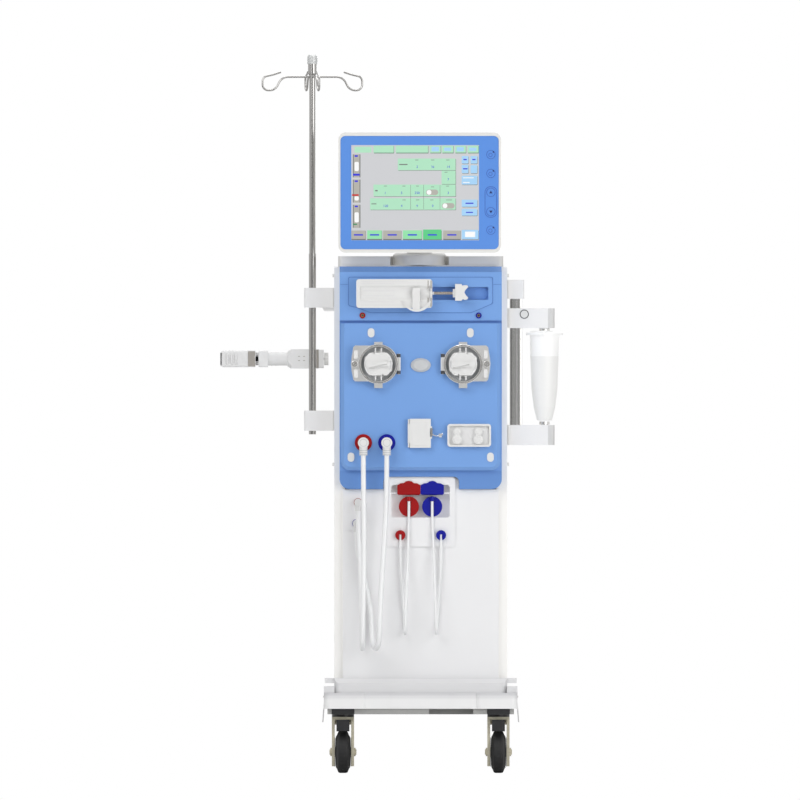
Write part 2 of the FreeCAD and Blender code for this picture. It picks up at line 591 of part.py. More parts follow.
def make_rotor():
    front = rod_y(ROTOR_RADIUS, PUMP_X, (ROTOR_FACE, -268), PUMP_Z)
    front = front.common(block((PUMP_X - 40, PUMP_X + 40), (ROTOR_FACE, -268), (PUMP_Z - 27, PUMP_Z + 27)))
    hub = rod_y(13, PUMP_X, (-269, -251), PUMP_Z)
    back = rod_y(31, PUMP_X, (-252.2, -250), PUMP_Z)
    shaft = rod_y(SHAFT_RADIUS, PUMP_X, (-251, -205), PUMP_Z)
    pieces = [hub, back, shaft]
    rollers = []
    for side in (-1, 1):
        turn = math.radians(25)
        x = PUMP_X + side * ROLLER_PITCH * math.cos(turn)
        z = PUMP_Z + side * ROLLER_PITCH * math.sin(turn)
        pieces.append(rod_y(2.5, x, (-269, -251), z))
        roller = rod_y(ROLLER_RADIUS, x, (-267.7, -252.5), z)
        rollers.append(roller.cut(rod_y(2.5 + RUN_GAP, x, (-270, -250), z)))
        for x_finger in (-7, 7):
            reach = (PUMP_Z + side * 25, PUMP_Z + side * 39)
            pieces.append(block((PUMP_X + x_finger - 1.5, PUMP_X + x_finger + 1.5), (-272, -268), sorted(reach)))
    pivot_x, pivot_y = CRANK_PIVOT
    for z in (6.3, -9.3):
        lug = block((PUMP_X + pivot_x - 3, PUMP_X + pivot_x + 3), (pivot_y - 3, ROTOR_FACE + 1), (PUMP_Z + z, PUMP_Z + z + 3))
        pieces.append(lug)
    pieces.append(rod_z(1.5, PUMP_X + pivot_x, pivot_y, (PUMP_Z - 9, PUMP_Z + 9)))
    notches = [block((PUMP_X + 9, PUMP_X + 12), (-280, -267), (PUMP_Z + 22, PUMP_Z + 36))]
    notches.append(block((PUMP_X - 12, PUMP_X - 9), (-280, -267), (PUMP_Z - 36, PUMP_Z - 22)))
    return [join(cut(front, *notches), *pieces)] + rollers


def make_crank():
    pivot_x, pivot_y = CRANK_PIVOT
    x = PUMP_X + pivot_x
    shape = [(x, -6), (x + 16, -5.5), (x + 34, -7), (x + 50, -8), (x + 50, 4.5), (x + 34, 5), (x + 16, 6.5), (x, 6)]
    bar = plate_y([(a, PUMP_Z + b) for a, b in shape], (pivot_y - 3.7, pivot_y + 3.7))
    end = rod_z(3.7, x, pivot_y, (PUMP_Z - 6, PUMP_Z + 6))
    grip = rod_y(7, x + 47, (pivot_y - 6.5, pivot_y + 3.5), PUMP_Z - 1.5)
    return cut(join(bar, end, grip), rod_z(1.5 + RUN_GAP, x, pivot_y, (PUMP_Z - 10, PUMP_Z + 10)))


def make_pumps():
    housing = make_housing()
    mirrored = [both(solid)[1] for solid in housing]
    put("pump_housings", *housing, *mirrored)
    right, left = both(make_pump_cover())
    put("right_pump_cover", right)
    put("left_pump_cover", left)
    solids = make_rotor()
    put("right_rotor", *solids)
    put("left_rotor", *[both(solid)[1] for solid in solids])
    right, left = both(make_crank())
    put("right_crank", right)
    put("left_crank", left)


# Syringe pump
def make_syringe_pump():
    body = soft_block(CRADLE_X, (CRADLE_FACE, SURROUND_FACE), CRADLE_Z, 7, ALONG_Y)
    channel = rod_x(24, (CRADLE_X[0] + 9, 16), CRADLE_FACE - 16, 1142)
    mouth = rod_x(9, (10, CRADLE_X[1] + 1), CRADLE_FACE - 2, 1142)
    slot = rod_x(22, (19, 23), CRADLE_FACE - 12, 1142)
    radius, rod_depth, rod_height = DRIVE_ROD
    bore = rod_x(radius + RUN_GAP, (-115, CRADLE_X[1] + 1), rod_depth, rod_height)
    clamp_radius, clamp_x, clamp_z = CLAMP_ROD
    clamp_bore = rod_y(clamp_radius + RUN_GAP, clamp_x, (CRADLE_FACE - 1, -246), clamp_z)
    put("syringe_cradle", cut(body, channel, mouth, slot, bore, clamp_bore))
    bar = soft_block((-19.5, -1.7), (CRADLE_FACE - 9, CRADLE_FACE - 0.3), (1104, 1155), 3, ALONG_Y)
    stem = rod_y(clamp_radius, clamp_x, (CRADLE_FACE - 1, -252), clamp_z)
    outer = rod_y(36, -9, (CRADLE_FACE - 6, CRADLE_FACE - 1), 1134)
    inner = rod_y(34, -11, (CRADLE_FACE - 7, CRADLE_FACE), 1138)
    limit = block((-44, 24), (CRADLE_FACE - 7, CRADLE_FACE), (1090, 1124))
    wing = outer.cut(inner).common(limit)
    put("syringe_clamp", join(bar, stem, wing))
    rod = rod_x(radius, (-60, 80), rod_depth, rod_height)
    claw = [(82, 1124), (97, 1124), (100, 1128), (105, 1126), (110.5, 1127), (113.3, 1131), (107, 1138), (104, 1144)]
    claw += [(107, 1150), (113.3, 1157), (110.5, 1161), (104, 1161), (99, 1160), (97, 1164), (82, 1164)]
    body = plate_y(claw, (CRADLE_FACE + 2, -243))
    flange = block((76.5, 82), (-272, -243), (1132, 1152))
    foot = block((84, 97), (-244, -227), (1135, 1149))
    put("syringe_pusher", join(rod, body, flange, foot))


# Monitor
def make_neck():
    x, y = NECK
    pivot_y, pivot_z = TILT_PIVOT
    profile = [(0, CABINET_TOP + WALL), (TURRET_RADIUS, CABINET_TOP + WALL), (TURRET_RADIUS, 1232), (59, 1237), (0, 1237)]
    turret = turned(profile, V(x, y, 0), ALONG_Z)
    spindle = rod_z(20, x, y, (1165, CABINET_TOP + WALL + 1))
    column = soft_block((x - 30, x + 30), (-178, -150), (1236, pivot_z + 10), 8, ALONG_Z)
    arms = []
    for low, high in ((-30, -10), (10, 30)):
        arms.append(rod_x(10, (x + low, x + high), pivot_y, pivot_z))
        arms.append(block((x + low, x + high), (pivot_y, -165), (pivot_z - 10, pivot_z + 10)))
    pin = rod_x(4, (x - 28, x + 28), pivot_y, pivot_z)
    put("monitor_neck", join(turret, spindle, column, pin, *arms))


def make_monitor():
    x = NECK[0]
    pivot_y, pivot_z = TILT_PIVOT
    front, back = MONITOR_Y
    shell = soft_block(MONITOR_X, MONITOR_Y, MONITOR_Z, 17, ALONG_Y)
    rear_edges = [e for e in shell.Edges if e.BoundBox.YMin > back - 0.01]
    shell = shell.makeChamfer(9, rear_edges)
    wide = (BEZEL_X[0] - BEZEL_GAP, BEZEL_X[1] + BEZEL_GAP)
    tall = (BEZEL_Z[0] - BEZEL_GAP, BEZEL_Z[1] + BEZEL_GAP)
    pocket = soft_block(wide, (front - 1, front + 5), tall, 12, ALONG_Y)
    room = block((wide[0] + 7.1, wide[1] - 6.9), (front, back - 3), (tall[0] + 7.7, tall[1] - 7.4))
    vents = [block((x + side * 60 - 35, x + side * 60 + 35), (back - 5, back + 1), (z, z + 3)) for side in (-1, 1) for z in range(1440, 1490, 8)]
    bracket = block((x - 9.7, x + 9.7), (back - 1, pivot_y), (pivot_z - 10, pivot_z + 10))
    knuckle = rod_x(10, (x - 9.7, x + 9.7), pivot_y, pivot_z)
    body = join(cut(shell, pocket, room, *vents), bracket, knuckle)
    put("monitor_housing", cut(body, rod_x(4 + RUN_GAP, (x - 12, x + 12), pivot_y, pivot_z)))
    face = soft_block(BEZEL_X, (front, front + 5), BEZEL_Z, 12, ALONG_Y)
    window = block(SCREEN_X, (front - 1, front + 6), SCREEN_Z)
    key_x = (SCREEN_X[1] + MONITOR_X[1]) / 2 + 2.1
    keys = [rod_y(11, key_x, (front - 0.5, front), z) for z in KEY_HEIGHTS]
    put("monitor_bezel", cut(face, window), *keys)
    glass = block((SCREEN_X[0] + 0.2, SCREEN_X[1] - 0.2), (front + 1, front + 6), (SCREEN_Z[0] + 0.2, SCREEN_Z[1] - 0.2))
    module = block((SCREEN_X[0] - 6.6, SCREEN_X[1] + 6.2), (front + 5, front + 20), (SCREEN_Z[0] - 6.9, SCREEN_Z[1] + 6.5))
    put("screen", join(glass, module))


# Infusion pole
def make_pole():
    x, y = POLE
    brackets = []
    for low, high in ((1107.5, 1154.6), (814.4, 862.5)):
        body = soft_block((x - 19.7, -CABINET_HALF), (y - 22, y + 22), (low, high), 6, ALONG_Z)
        brackets.append(body.cut(rod_z(OUTER_RADIUS + RUN_GAP, x, y, (low - 1, high + 1))))
    foot = plate_y([(-CABINET_HALF, 1099), (-CABINET_HALF, 1107.5), (x + 23.8, 1107.5), (x + 27.8, 1099)], (y - 16, y + 16))
    brackets[0] = join(brackets[0], foot)
    put("pole_brackets", *brackets)
    outer = rod_z(OUTER_RADIUS, x, y, (OUTER_BOTTOM, OUTER_TOP))
    outer = outer.cut(rod_z(INNER_RADIUS + RUN_GAP, x, y, (OUTER_BOTTOM + 5, OUTER_TOP + 1)))
    put("steel_posts", outer, *station_post())
    inner = rod_z(INNER_RADIUS, x, y, (INNER_BOTTOM, COLLAR_BOTTOM))
    inner = inner.cut(rod_z(INNER_RADIUS - 1.5, x, y, (INNER_BOTTOM - 1, HOOK_HEIGHT - 12)))
    collar = turned([(0, COLLAR_BOTTOM - 5), (7.5, COLLAR_BOTTOM - 5), (10.5, COLLAR_BOTTOM), (10.5, CAP_BOTTOM), (0, CAP_BOTTOM)], V(x, y, 0), ALONG_Z)
    shape = [(4, 0), (74, 0), (89, -32), (119.6, -32), (119.6, 0), (97, 4.5), (75.6, 11.5)]
    hooks = []
    for quarter in range(4):
        angle = math.radians(90 * quarter + HOOK_TURN)
        points = [V(x + r * math.cos(angle), y + r * math.sin(angle), HOOK_HEIGHT + z) for r, z in shape]
        hooks.append(round_wire(points, HOOK_WIRE)[0])
    cap = turned([(0, CAP_BOTTOM), (12, CAP_BOTTOM), (12, POLE_TOP - 3), (9, POLE_TOP), (0, POLE_TOP)], V(x, y, 0), ALONG_Z)
    put("inner_pole", join(inner, collar, *hooks), cap)


def make_holder():
    pole_x, pole_y = POLE
    y, z = HOLDER
    block_face = pole_y - 3
    body = block((pole_x - 50.2, pole_x + 15.4), (block_face, -67), (z - 23, z + 23))
    nose = turned([(0, 0), (18, 0), (23, 8), (23, 14), (0, 14)], V(pole_x - 59.2, y, z), ALONG_X)
    nose = nose.common(block((pole_x - 62.2, pole_x - 42.2), (block_face, -67), (z - 23, z + 23)))
    cap = soft_block((pole_x + 15.4, pole_x + 27.4), (-114, -76), (z - 22, z + 22), 5, ALONG_X)
    tools = [rod_z(OUTER_RADIUS + RUN_GAP, pole_x, pole_y, (z - 30, z + 30))]
    tools.append(rod_x(8 + RUN_GAP, (pole_x - 62.2, pole_x - 30.2), y, z))
    tools.append(rod_x(3 + RUN_GAP, (pole_x + 5.8, pole_x + 32.8), KNOB_Y, z))
    put("holder_clamp", cut(join(body, nose, cap), *tools))
    knob_x = pole_x + 28.2
    grip = rod_x(15, (knob_x, knob_x + 10.2), KNOB_Y, z)
    screw = rod_x(3, (knob_x - 17.9, knob_x + 1), KNOB_Y, z)
    flutes = [rod_x(2, (knob_x - 1, knob_x + 11), KNOB_Y + 16 * math.cos(a), z + 16 * math.sin(a)) for a in [i * math.pi / 5 for i in range(10)]]
    put("holder_knob", join(cut(grip, *flutes), screw))
    arm_x = pole_x - 59.4
    arm = rod_x(16, (arm_x - 46.8, arm_x), y, z)
    pivot = rod_x(8, (arm_x - 1, arm_x + 27.2), y, z)
    fixed = soft_block((arm_x - 68.8, arm_x - 46.2), (-105, -65), (z - 19.8, z + 19.8), 4, ALONG_X)
    tongue = block((arm_x - 76.3, arm_x - 67.8), (-75, -66), (z - 15, z + 15))
    guides = [rod_x(3.5 + RUN_GAP, (arm_x - 77.8, arm_x - 28.8), y, z + side) for side in (-9, 9)]
    put("holder_arm", cut(join(arm, pivot, fixed, tongue), *guides))
    jaw_x = (JAW_LEFT + 5, JAW_LEFT + 65)
    jaw = soft_block(jaw_x, (-105, -65), (z - 19.8, z + 19.8), 5, ALONG_X)
    ridges = [block((jaw_x[0] + x, jaw_x[0] + x + 4), (-107, -104), (z - 13, z + 13)) for x in (10, 20, 30)]
    rods = [rod_x(3.5, (jaw_x[1] - 1, jaw_x[1] + 59), y, z + side) for side in (-9, 9)]
    pad = block((jaw_x[1] - 0.5, jaw_x[1] + 19), (-103, -76), (z - 19.8, z + 19.8))
    tip = soft_block((JAW_LEFT, jaw_x[0]), (-104, -66), (z - 18, z + 18), 5, ALONG_X)
    put("holder_jaw", join(jaw, pad, *ridges, *rods), tip)


# Cartridge station
def station_post():
    span = (STATION_FOOT_Z[1], STATION_TOP_Z[0])
    bar = block(POST_X, POST_Y, span)
    flutes = [block((a, a + 3), (POST_Y[0] - 1, POST_Y[0] + 3), span) for a in (POST_X[0] + 4, POST_X[0] + 10.5, POST_X[0] + 17)]
    guide = rod_z(GUIDE[0], GUIDE[1], GUIDE[2], span)
    return cut(bar, *flutes), guide


def make_station():
    x, y = CARTRIDGE
    foot = soft_block((CABINET_HALF, STATION_END), STATION_Y, STATION_FOOT_Z, 8, ALONG_Z)
    top = soft_block((CABINET_HALF, POST_X[1] + 10.8), STATION_Y, STATION_TOP_Z, 5, ALONG_Z)
    stub = Part.makeCone(9, 6, 9, V(x, y, STATION_FOOT_Z[1]), ALONG_Z)
    put("station_ends", foot, stub, top)
    arm = soft_block((CABINET_HALF + 0.5, STATION_END), STATION_Y, STATION_ARM_Z, 8, ALONG_Z)
    hole = block((POST_X[0] - 0.1, POST_X[1] + 0.1), (POST_Y[0] - 0.1, POST_Y[1] + 0.1), STATION_ARM_Z)
    guide_hole = rod_z(GUIDE[0] + RUN_GAP, GUIDE[1], GUIDE[2], STATION_ARM_Z)
    button_x, button_z = STATION_BUTTON_X, STATION_ARM_Z[1] - 14
    button_hole = rod_y(8.8 + 0.1, button_x, (STATION_Y[0] - 1, STATION_Y[0] + 7), button_z)
    lid_top = STATION_ARM_Z[0] - 6.6
    probe = rod_z(12, x, y, (lid_top + 0.2, STATION_ARM_Z[0] + 1))
    put("station_arm", join(cut(arm, hole, guide_hole, button_hole), probe))
    put("station_button", rod_y(8.8, button_x, (STATION_Y[0] - 3, STATION_Y[0] + 3), button_z))
    low = STATION_FOOT_Z[1] + 10.3
    rim = lid_top - 10.4
    outer = [(0, low), (17, low), (18.3, low + 2.5), (26, low + 33.5), (31, low + 76.5), (33.8, rim - 49), (34.6, rim), (0, rim)]
    inner = [(0, low + 4.5), (15, low + 4.5), (23.5, low + 34.5), (28.5, low + 76.5), (31.3, rim - 49), (32, rim + 1), (0, rim + 1)]
    lid = [(0, rim), (LID_RADIUS, rim), (LID_RADIUS, rim + 6), (30, lid_top), (0, lid_top)]
    shell = turned(outer, V(x, y, 0), ALONG_Z).cut(turned(inner, V(x, y, 0), ALONG_Z))
    socket = rod_z(12, x, y, (low - 9, low + 0.5)).cut(Part.makeCone(9.3, 6.3, 9, V(x, y, STATION_FOOT_Z[1] + 0.1), ALONG_Z))
    seat = rod_z(7, x, y, (low - 1, low + 0.5))
    put("cartridge", join(shell, socket, seat), turned(lid, V(x, y, 0), ALONG_Z))


# Casters
def make_fork(x, y):
    bridge = block((-FORK_HALF, FORK_HALF), (-40, 24), (120, FORK_TOP))
    outline = [(24, FORK_TOP), (24, 112), (-8, 30), (-14, 16), (-42, 16), (-48, 30), (-47, 100), (-40, FORK_TOP)]
    cheeks = [plate_x(outline, span) for span in ((FORK_INNER, FORK_HALF), (-FORK_HALF, -FORK_INNER))]
    axle = rod_x(AXLE_RADIUS, (-FORK_HALF, FORK_HALF), -CASTER_TRAIL, WHEEL_RADIUS)
    heads = [rod_x(10, span, -CASTER_TRAIL, WHEEL_RADIUS) for span in ((FORK_HALF, AXLE_END), (-AXLE_END, -FORK_HALF))]
    head = rod_z(FORK_HALF, 0, 0, (FORK_TOP, 146))
    stem = rod_z(10.5, 0, 0, (146, 147))
    pin = rod_z(AXLE_RADIUS, 0, 0, (146, PLATE_TOP - 0.3))
    front = y < 0
    pivot = [rod_x(3, (-FORK_HALF, FORK_HALF), *PEDAL_PIVOT)] if front else []
    fork = join(bridge, axle, *cheeks, *heads, *pivot)
    if front:
        fork = fork.cut(block((-FORK_INNER, FORK_INNER), (-60, -26), (100, 127)))
        fork = join(fork, *pivot)
    return [moved(fork, x, y, 0), moved(join(head, stem, pin), x, y, 0)]


def make_wheel(x, y):
    hub = FORK_INNER - 0.2
    profile = [(AXLE_RADIUS + RUN_GAP, -hub), (12, -hub), (12, -WHEEL_HALF), (36, -WHEEL_HALF), (41, 3 - WHEEL_HALF)]
    profile += [(44, 4 - WHEEL_HALF), (WHEEL_RADIUS - 1.5, 6 - WHEEL_HALF), (WHEEL_RADIUS, 10 - WHEEL_HALF)]
    profile += [(r, -h) for r, h in reversed(profile)]
    return turned(profile, V(x, y - CASTER_TRAIL, WHEEL_RADIUS), ALONG_X)


def make_pedal(x, y):
    pivot_y, pivot_z = PEDAL_PIVOT
    outline = [(pivot_y, 121), (pivot_y - 30, 124), (-76, 127), (-80, 122), (-80, 100), (-76, 99)]
    outline += [(-74, 116), (pivot_y - 28, 116), (pivot_y, 114)]
    plate = plate_x(outline, (-PEDAL_HALF, PEDAL_HALF))
    hub = rod_x(6, (-PEDAL_HALF, PEDAL_HALF), pivot_y, pivot_z)
    shape = cut(join(plate, hub), rod_x(3 + RUN_GAP, (-20, 20), pivot_y, pivot_z))
    return moved(shape, x, y, 0)


def make_casters():
    places = {
        "front_left": (-CASTER_X, CASTER_FRONT),
        "front_right": (CASTER_X, CASTER_FRONT),
        "rear_left": (-CASTER_X, CASTER_REAR),
        "rear_right": (CASTER_X, CASTER_REAR),
    }
    for name, (x, y) in places.items():
        put(f"caster_fork_{name}", *make_fork(x, y))
        put(f"caster_wheel_{name}", make_wheel(x, y))
        if y < 0:
            put(f"brake_pedal_{name}", make_pedal(x, y))


# Inside the cabinet
def make_insides():
    manifold = block((-140, 140), (60, 100), (232, 560))
    heater = rod_z(42, -90, 20, (232, 470))
    tank = block((-30, 130), (-60, 60), (232, 380))
    chambers = [rod_y(45, x, (-10, 60), 460) for x in (0, 92)]
    fittings = []
    for radius, x, end in ((7.5, -60, 240), (6, 60, 236)):
        pipe = rod_y(radius - 2, x, (100, CABINET_REAR + 1), 300)
        fittings.append(join(pipe, rod_y(radius, x, (CABINET_REAR, end), 300)))
    put("hydraulic_unit", join(manifold, heater, tank, *chambers), *fittings)
    supply = block((-150, 10), (20, 170), (703, 800))
    fan = rod_y(38, -70, (-5, 20), 750)
    cards = [block((30 + 24 * i, 33 + 24 * i), (-20, 170), (703, 860)) for i in range(5)]
    rack = block((20, 140), (165, 172), (703, 860))
    put("power_supply", join(supply, fan), join(rack, *cards))


def save_all():
    os.makedirs("parts", exist_ok=True)
    for name, shape in PARTS.items():
        shape = moved(shape, TO_ORIGIN.x, TO_ORIGIN.y, TO_ORIGIN.z)
        if not shape.isValid():
            print("invalid", name)
        shape.exportStep(f"parts/{name}.step")
    print(len(PARTS), "nodes")


make_chassis()
make_base_cover()
make_covers()
make_top_cover()
make_front_panel()
make_lower_panel()
make_connector_bay()
make_flap("red_flap", (-55.8, -0.7))
make_flap("blue_flap", (-0.1, 55.2))
make_ports()
make_elbows()
make_hoses()
make_front_trim()
make_detector()
make_pumps()
make_syringe_pump()
make_neck()
make_monitor()
make_pole()
make_holder()
make_station()
make_casters()
make_insides()
save_all()
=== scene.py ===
import bpy
import bmesh
import math
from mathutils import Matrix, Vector


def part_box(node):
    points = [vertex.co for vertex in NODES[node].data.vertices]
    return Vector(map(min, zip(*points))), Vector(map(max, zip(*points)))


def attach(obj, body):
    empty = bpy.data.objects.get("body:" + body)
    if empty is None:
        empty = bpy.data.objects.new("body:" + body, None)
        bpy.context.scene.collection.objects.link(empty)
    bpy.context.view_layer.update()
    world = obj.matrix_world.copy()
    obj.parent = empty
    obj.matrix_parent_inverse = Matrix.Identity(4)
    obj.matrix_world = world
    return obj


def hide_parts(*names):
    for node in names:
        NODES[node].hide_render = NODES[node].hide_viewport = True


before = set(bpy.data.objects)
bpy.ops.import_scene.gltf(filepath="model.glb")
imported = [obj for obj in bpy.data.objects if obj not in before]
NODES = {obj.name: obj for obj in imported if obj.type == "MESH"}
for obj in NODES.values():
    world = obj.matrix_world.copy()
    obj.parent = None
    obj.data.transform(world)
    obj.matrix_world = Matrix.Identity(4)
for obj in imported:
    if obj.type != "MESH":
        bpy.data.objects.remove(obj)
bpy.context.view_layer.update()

# Sizes are read from the cabinet, so that places can be given in millimetres about its centre line.
MM = 0.001
SIDES_LOW, SIDES_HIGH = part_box("side_covers")
CENTRE_X = (SIDES_LOW.x + SIDES_HIGH.x) / 2
CABINET_FRONT = -200
MID_DEPTH = SIDES_LOW.y - CABINET_FRONT * MM
FACE_LOWER = -246
FACE_UPPER = -240
PUMP_X = 100.7
PUMP_Z = 973.4
RACEWAY = 41
SCREEN_LEFT = -165.4
SCREEN_TOP = 1494.5
GLASS = -261
BEZEL = -262
CARTRIDGE = (294.6, -150)
STATION_BUTTON = (246.5, 1092)
POLE = (-257.8, -100)
HOLDER_HEIGHT = 985.6
PORT_X = (-136.4, -80.8)
PORT_Z = 785.9
ELBOW_Y = -274
HINGE_X = 52.5
HINGE_Y = -262
CASTER_X = 185
CASTER_Y = 205
CASTER_TRAIL = 28
WHEEL_RADIUS = 50
WHEEL_FACE = 17
AXLE_END = 30
HOSE_RADIUS = 6
TUBE_RADIUS = 3.25
FORWARD = (0, -1, 0)
BACKWARD = (0, 1, 0)
UP = (0, 0, 1)


def at(x, y, z):
    return Vector((CENTRE_X + x * MM, MID_DEPTH + y * MM, z * MM))


def srgb(red, green, blue):
    def line(value):
        value = value / 255
        return value / 12.92 if value < 0.04045 else ((value + 0.055) / 1.055) ** 2.4

    return (line(red), line(green), line(blue), 1.0)


# Heights and places of painted bands, in the frame's own metres. Most of them paint light and shade, as
# noted at each; the fork plate and the powder fill are the things' own colours.
FORK_PLATE = (0.1337, 0.16)
POWDER_FILL = (0.84, 0.992)
# Base cover bands: painted shade in the gap under the lower panel and at the tier step, painted light on
# the lower tier's front
BASE_SHADOW_GAP = (0.2255, 0.2295)
BASE_STEP_SHADE = (0.1845, 0.1925)
BASE_FRONT_LIGHT = (0.15, 0.177)
# Blue panel bands: painted shade on the top edge and on the lower lip, which faces down; a darker line at
# the step between the panel's upper and lower parts
PANEL_TOP_EDGE_SHADE = (1.1925, 1.21)
PANEL_STEP = (1.0705, 1.0765)
PANEL_LOWER_LIP_SHADE = (0.60, 0.7195)
# Painted reflection on the station's steel bar: the whole bar lighter, with painted shade in its groove and
# a painted highlight on its ridge
STATION_BAR_REFLECTION = (CENTRE_X + 0.2, CENTRE_X + 0.26)
BAR_GROOVE_SHADE = (CENTRE_X + 0.2146, CENTRE_X + 0.2175)
BAR_RIDGE_HIGHLIGHT = (CENTRE_X + 0.2268, CENTRE_X + 0.2312)
# Painted shade on the rounded right end of the station arm and its end pieces
STATION_END_SHADE = (CENTRE_X + 0.303, 2)

# Grains of moulded, rough and drawn surfaces, in cells to a metre
FINE_GRAIN = 1500
SOFT_GRAIN = 1200
METAL_GRAIN = 1800


# Materials
def new_material(name):
    material = bpy.data.materials.new(name)
    material.use_nodes = True
    nodes = material.node_tree.nodes
    return material, nodes, material.node_tree.links, nodes["Principled BSDF"]


def object_noise(nodes, links, scale, detail):
    place = nodes.new("ShaderNodeTexCoord")
    noise = nodes.new("ShaderNodeTexNoise")
    noise.inputs["Scale"].default_value = scale
    noise.inputs["Detail"].default_value = detail
    links.new(place.outputs["Object"], noise.inputs["Vector"])
    return noise.outputs["Fac"]


def spread(nodes, links, value, low, high):
    ramp = nodes.new("ShaderNodeMapRange")
    ramp.inputs["From Min"].default_value = 0.3
    ramp.inputs["From Max"].default_value = 0.7
    ramp.inputs["To Min"].default_value = low
    ramp.inputs["To Max"].default_value = high
    links.new(value, ramp.inputs["Value"])
    return ramp.outputs["Result"]


def blend_colours(nodes, links, factor, first, second):
    mix = nodes.new("ShaderNodeMix")
    mix.data_type = "RGBA"
    for socket, colour in ((mix.inputs["A"], first), (mix.inputs["B"], second)):
        if isinstance(colour, tuple):
            socket.default_value = colour
        else:
            links.new(colour, socket)
    links.new(factor, mix.inputs["Factor"])
    return mix.outputs["Result"]


def shade(colour, amount):
    return tuple(min(1.0, part * amount) for part in colour[:3]) + (1.0,)


def surface(name, colour, rough, mottle, grain, bump, **sockets):
    material, nodes, links, shader = new_material(name)
    wide = object_noise(nodes, links, 6, 3)
    fine = object_noise(nodes, links, grain, 5)
    tint = blend_colours(nodes, links, wide, shade(colour, 1 - mottle), shade(colour, 1 + mottle))
    links.new(tint, shader.inputs["Base Color"])
    links.new(spread(nodes, links, fine, rough * 0.94, min(1.0, rough * 1.08)), shader.inputs["Roughness"])
    relief = nodes.new("ShaderNodeBump")
    relief.inputs["Strength"].default_value = bump
    relief.inputs["Distance"].default_value = 0.0002
    links.new(fine, relief.inputs["Height"])
    links.new(relief.outputs["Normal"], shader.inputs["Normal"])
    for socket, value in sockets.items():
        shader.inputs[socket.replace("_", " ")].default_value = value
    return material


def metal(name, colour, rough):
    return surface(name, colour, rough, 0.03, METAL_GRAIN, 0.03, Metallic=1.0)


# White emission for surfaces that are no lamps: painted light
def painted_glow(strength):
    return {"Emission_Color": (1, 1, 1, 1), "Emission_Strength": strength}


def place_along(nodes, links, axis):
    place = nodes.new("ShaderNodeTexCoord")
    split = nodes.new("ShaderNodeSeparateXYZ")
    links.new(place.outputs["Object"], split.inputs["Vector"])
    return split.outputs[axis]


def between(nodes, links, value, low, high, soft=0.0006):
    steps = []
    for edge, sign in ((low, 1), (high, -1)):
        step = nodes.new("ShaderNodeMapRange")
        step.inputs["From Min"].default_value = edge - sign * soft
        step.inputs["From Max"].default_value = edge + sign * soft
        links.new(value, step.inputs["Value"])
        steps.append(step.outputs["Result"])
    product = nodes.new("ShaderNodeMath")
    product.operation = "MULTIPLY"
    links.new(steps[0], product.inputs[0])
    links.new(steps[1], product.inputs[1])
    return product.outputs["Value"]


def repaint(material, band, colour, axis="Z", soft=0.0006):
    nodes = material.node_tree.nodes
    links = material.node_tree.links
    target = nodes["Principled BSDF"].inputs["Base Color"]
    before = target.links[0].from_socket
    mask = between(nodes, links, place_along(nodes, links, axis), *band, soft)
    links.new(blend_colours(nodes, links, mask, before, colour), target)
    return material


def panel_blue():
    material = surface("blue_panel", srgb(116, 161, 223), 0.38, 0.02, FINE_GRAIN, 0.06, Coat_Weight=0.15)
    # Darker blue: painted shade on the top edge and on the down-facing lower lip, and a darker line at the
    # step
    repaint(material, PANEL_TOP_EDGE_SHADE, srgb(95, 136, 196))
    repaint(material, PANEL_STEP, srgb(84, 126, 190))
    return repaint(material, PANEL_LOWER_LIP_SHADE, srgb(98, 142, 206), soft=0.002)


def pump_metal():
    material = surface("pump_metal", (0.86, 0.857, 0.848, 1), 0.3, 0.03, METAL_GRAIN, 0.03, Metallic=0.86)
    nodes = material.node_tree.nodes
    links = material.node_tree.links
    target = nodes["Principled BSDF"].inputs["Base Color"]
    for side in (-1, 1):
        place = nodes.new("ShaderNodeTexCoord")
        middle = at(side * PUMP_X, 0, PUMP_Z)
        flat = nodes.new("ShaderNodeVectorMath")
        flat.operation = "MULTIPLY"
        flat.inputs[1].default_value = (1, 0, 1)
        links.new(place.outputs["Object"], flat.inputs[0])
        reach = nodes.new("ShaderNodeVectorMath")
        reach.operation = "DISTANCE"
        reach.inputs[1].default_value = (middle.x, 0, middle.z)
        links.new(flat.outputs["Vector"], reach.inputs[0])
        # A darker ring at the mouth of each raceway bore: painted shade in the bore
        ring = between(nodes, links, reach.outputs["Value"], (RACEWAY - 3) * MM, (RACEWAY + 1.4) * MM)
        before = target.links[0].from_socket
        links.new(blend_colours(nodes, links, ring, before, (0.36, 0.36, 0.36, 1)), target)
    return material


def lit(name, colour, strength=0.45):
    material, nodes, links, shader = new_material(name)
    fine = object_noise(nodes, links, 2600, 2)
    tint = blend_colours(nodes, links, fine, shade(colour, 0.53), shade(colour, 0.57))
    links.new(tint, shader.inputs["Base Color"])
    shader.inputs["Emission Color"].default_value = colour
    shader.inputs["Emission Strength"].default_value = strength
    shader.inputs["Roughness"].default_value = 0.25
    return material


